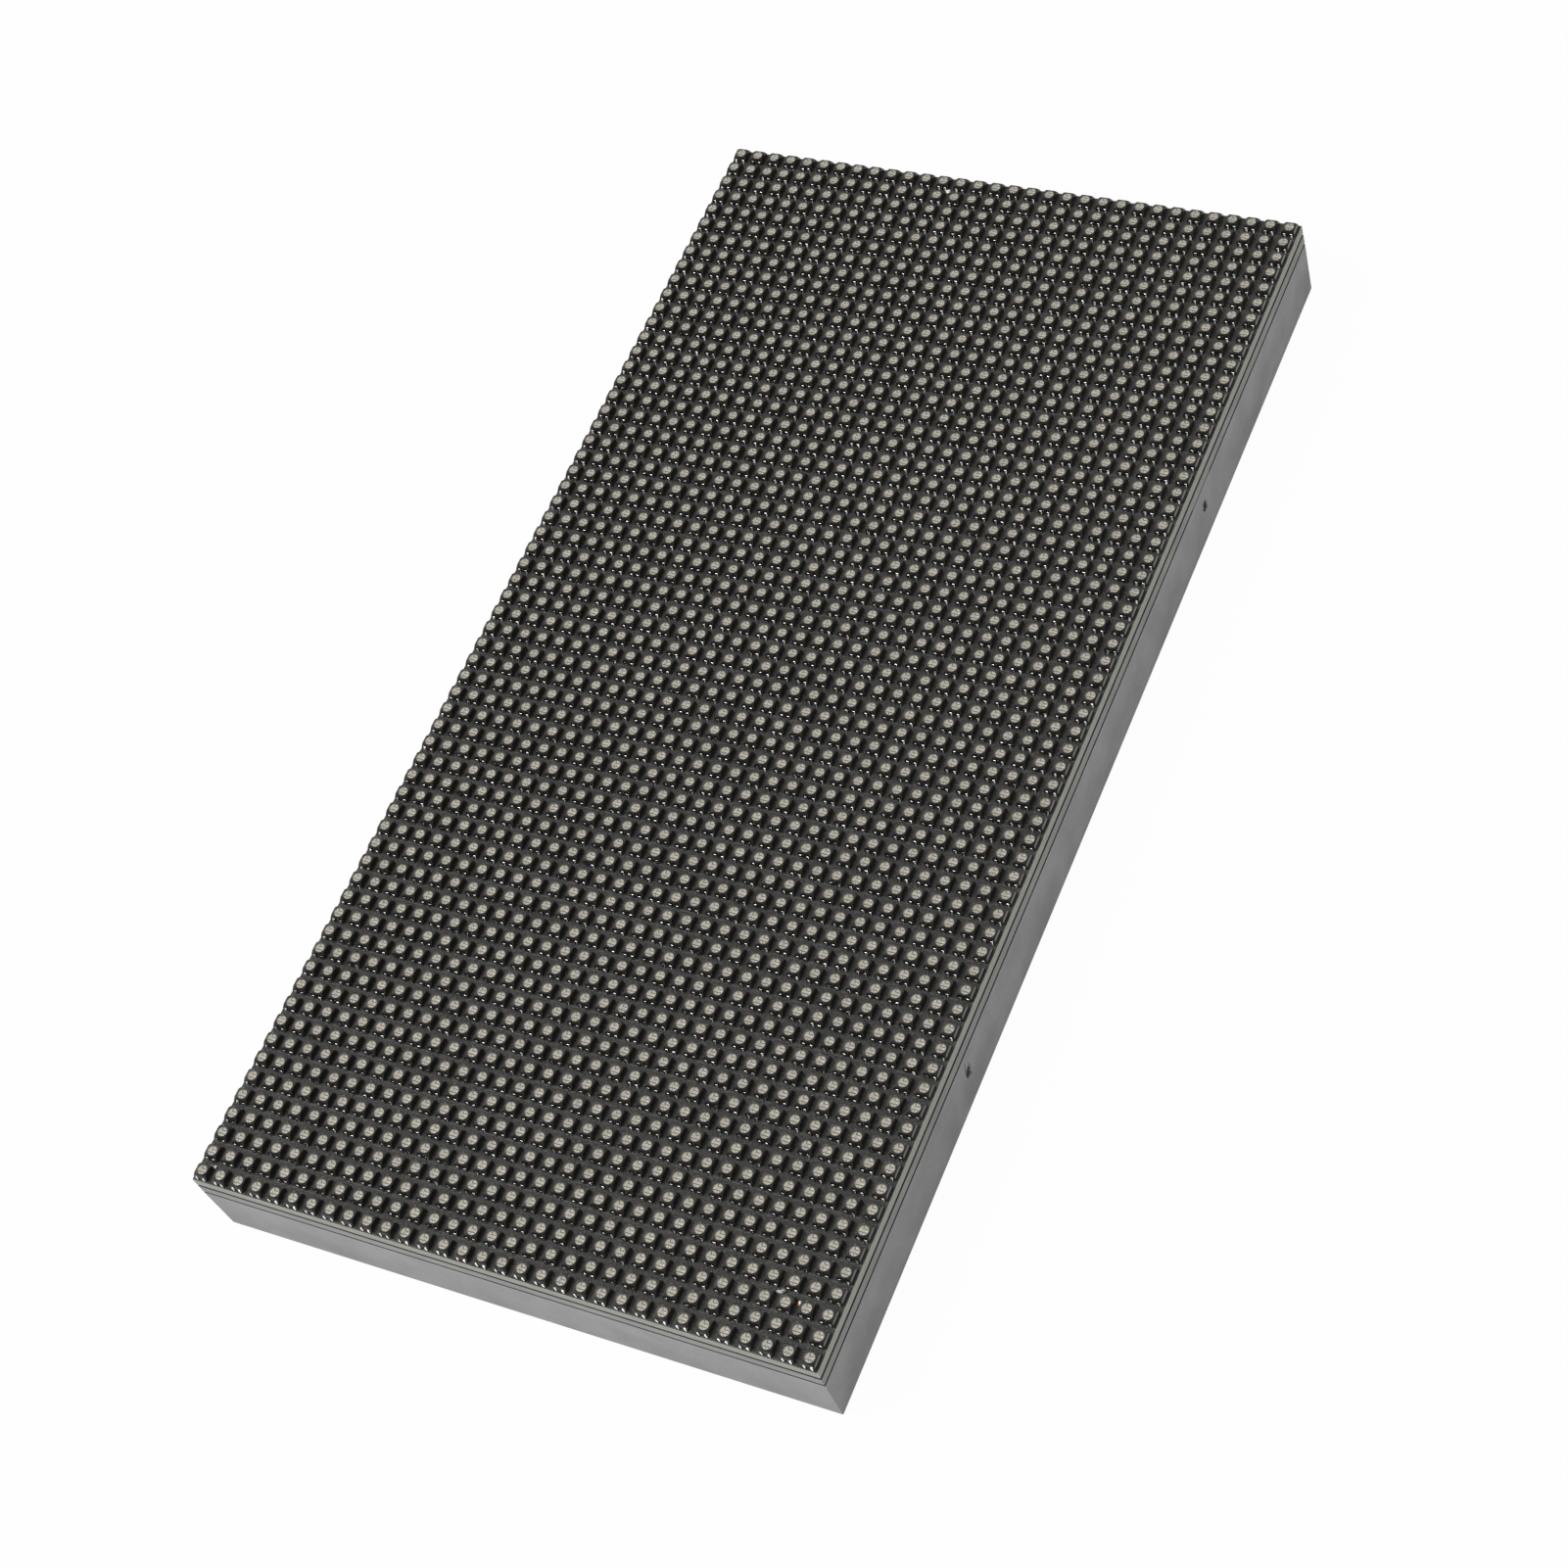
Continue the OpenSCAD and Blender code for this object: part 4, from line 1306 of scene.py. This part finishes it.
class LEDPANEL_OT_passives(bpy.types.Operator):
    """Builds the capacitors and the resistors on the board's back"""

    bl_idname = "led_panel.passives"
    bl_label = "Passive parts"

    def execute(self, context):
        board = settings_of("board")
        settings = settings_of("frame")
        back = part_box("led_board")[0].z
        tin = plated("end_tin", board.tin, 0.34)
        kinds = (
            ("ceramic_capacitors", board.ceramic, "ceramic_tan"),
            ("set_resistors", board.resistor, "resistor_black"),
        )
        for node, tone, slot in kinds:
            bodies = []
            ends = []
            for box in boxes_of(node):
                body, tinned = end_seats(box, back, END_LENGTHS[node])
                bodies.append(body)
                ends += tinned
            coat = moulded(f"{slot}_body", tone, 0.45)
            seated(repeated(f"{node}_bodies", block_shape(cut=0.04), coat, bodies), slot, node)
            seated(repeated(f"{node}_ends", block_shape(cut=0.06), tin, ends), "contact_tin")
        can = can_finish(board, boxes_of("capacitor_cans"))
        dress("capacitor_cans", settings.small_edge, can, "can_aluminium")
        foot = moulded("can_foot_black", settings.header, 0.5, specular=0.35)
        dress("capacitor_bases", settings.small_edge, foot, "header_black")
        return {"FINISHED"}


def seen_directly(wiring):
    """1 for a ray from the camera, a reflection or a see-through surface, and 0 for light"""
    path = wiring.node("ShaderNodeLightPath").outputs
    mirror = wiring.math("MAXIMUM", path["Is Glossy Ray"], path["Is Transmission Ray"])
    return wiring.math("MAXIMUM", path["Is Camera Ray"], mirror)


def lay_floor(stage):
    """A pale floor that looks white and keeps a faint shadow"""
    half = stage.floor / 2
    mesh = bpy.data.meshes.new("floor")
    corners = [(-half, -half, 0), (half, -half, 0), (half, half, 0), (-half, half, 0)]
    mesh.from_pydata(corners, [], [(0, 1, 2, 3)])
    floor = linked("floor", mesh)
    made = Finish("floor_white", stage.floor_tone, 1.0, specular=0.0)
    made.mottle(200 * MM, 0.01)
    glow = made.node("ShaderNodeEmission")
    blend = made.node("ShaderNodeMixShader")
    made.feed(blend.inputs[0], made.times(seen_directly(made), stage.floor_glow))
    made.feed(blend.inputs[1], made.shader.outputs[0])
    made.feed(blend.inputs[2], glow.outputs[0])
    end = next(n for n in made.tree.nodes if n.type == "OUTPUT_MATERIAL")
    made.feed(end.inputs["Surface"], blend.outputs[0])
    mesh.materials.append(made.material)


def light_world(stage):
    """White to the eye and in reflections, and a plain soft light on everything"""
    world = bpy.data.worlds.new("soft_white")
    world.use_nodes = True
    bpy.context.scene.world = world
    wiring = Wiring(world.node_tree)
    white = next(n for n in world.node_tree.nodes if n.type == "BACKGROUND")
    white.inputs["Color"].default_value = (1, 1, 1, 1)
    direct = seen_directly(wiring)
    rest = wiring.times(wiring.math("SUBTRACT", 1.0, direct), stage.ambient)
    wiring.feed(white.inputs["Strength"], wiring.math("ADD", direct, rest))


def lamp(name, place, target, size, watts):
    """A square soft lamp that faces a target"""
    data = bpy.data.lights.new(name, "AREA")
    data.size = size
    data.energy = watts
    made = linked(name, data)
    made.location = place
    made.rotation_euler = (Vector(target) - Vector(place)).to_track_quat("-Z", "Y").to_euler()


def place_camera(stage):
    """Camera at the picture's angle, with its up direction leaning by the roll"""
    data = bpy.data.cameras.new("camera")
    data.lens = stage.lens
    data.sensor_width = stage.sensor
    camera = linked("camera", data)
    flat = math.cos(stage.elevation)
    back = Vector((
        flat * math.cos(stage.azimuth), flat * math.sin(stage.azimuth), math.sin(stage.elevation),
    ))
    level = Vector((0, 0, 1)).cross(back).normalized()
    right = Matrix.Rotation(-stage.roll, 3, back) @ level
    up = back.cross(right)
    turn = Matrix((right, up, back)).transposed().to_4x4()
    camera.matrix_world = Matrix.Translation(Vector(stage.aim) + back * stage.distance) @ turn
    data.clip_start = 10 * MM
    bpy.context.scene.camera = camera


class LEDPANEL_OT_stage(bpy.types.Operator):
    """Makes the floor, the light and the camera"""

    bl_idname = "led_panel.stage"
    bl_label = "Stage"

    def execute(self, context):
        stage = settings_of("stage")
        context.scene.view_settings.view_transform = "Standard"
        lay_floor(stage)
        light_world(stage)
        lamp("key_lamp", stage.key_place, stage.aim, stage.key_size, stage.key_power)
        lamp("fill_lamp", stage.fill_place, stage.aim, stage.fill_size, stage.fill_power)
        place_camera(stage)
        return {"FINISHED"}


OPERATORS = [
    LEDPANEL_OT_board,
    LEDPANEL_OT_leds,
    LEDPANEL_OT_dust,
    LEDPANEL_OT_frame,
    LEDPANEL_OT_fasteners,
    LEDPANEL_OT_connectors,
    LEDPANEL_OT_chips,
    LEDPANEL_OT_passives,
    LEDPANEL_OT_stage,
]


class LEDPANEL_PT_sidebar(bpy.types.Panel):
    """Lists the pieces of the panel and their settings"""

    bl_idname = "LEDPANEL_PT_sidebar"
    bl_label = "LED panel"
    bl_space_type = "VIEW_3D"
    bl_region_type = "UI"
    bl_category = "LED panel"

    def draw(self, context):
        for name, group in SETTINGS.items():
            box = self.layout.box()
            box.label(text=group.__doc__)
            for key in group.__annotations__:
                box.prop(getattr(context.scene, name), key)
        for operator in OPERATORS:
            self.layout.operator(operator.bl_idname)


CLASSES = [*SETTINGS.values(), *OPERATORS, LEDPANEL_PT_sidebar]


def register():
    for cls in CLASSES:
        bpy.utils.register_class(cls)
    for name, group in SETTINGS.items():
        setattr(bpy.types.Scene, name, PointerProperty(type=group))


def unregister():
    for name in SETTINGS:
        delattr(bpy.types.Scene, name)
    for cls in reversed(CLASSES):
        bpy.utils.unregister_class(cls)


def main():
    register()
    bpy.ops.led_panel.board()
    bpy.ops.led_panel.leds()
    bpy.ops.led_panel.dust()
    bpy.ops.led_panel.frame()
    bpy.ops.led_panel.fasteners()
    bpy.ops.led_panel.connectors()
    bpy.ops.led_panel.chips()
    bpy.ops.led_panel.passives()
    bpy.ops.led_panel.stage()


if __name__ == "__main__":
    main()
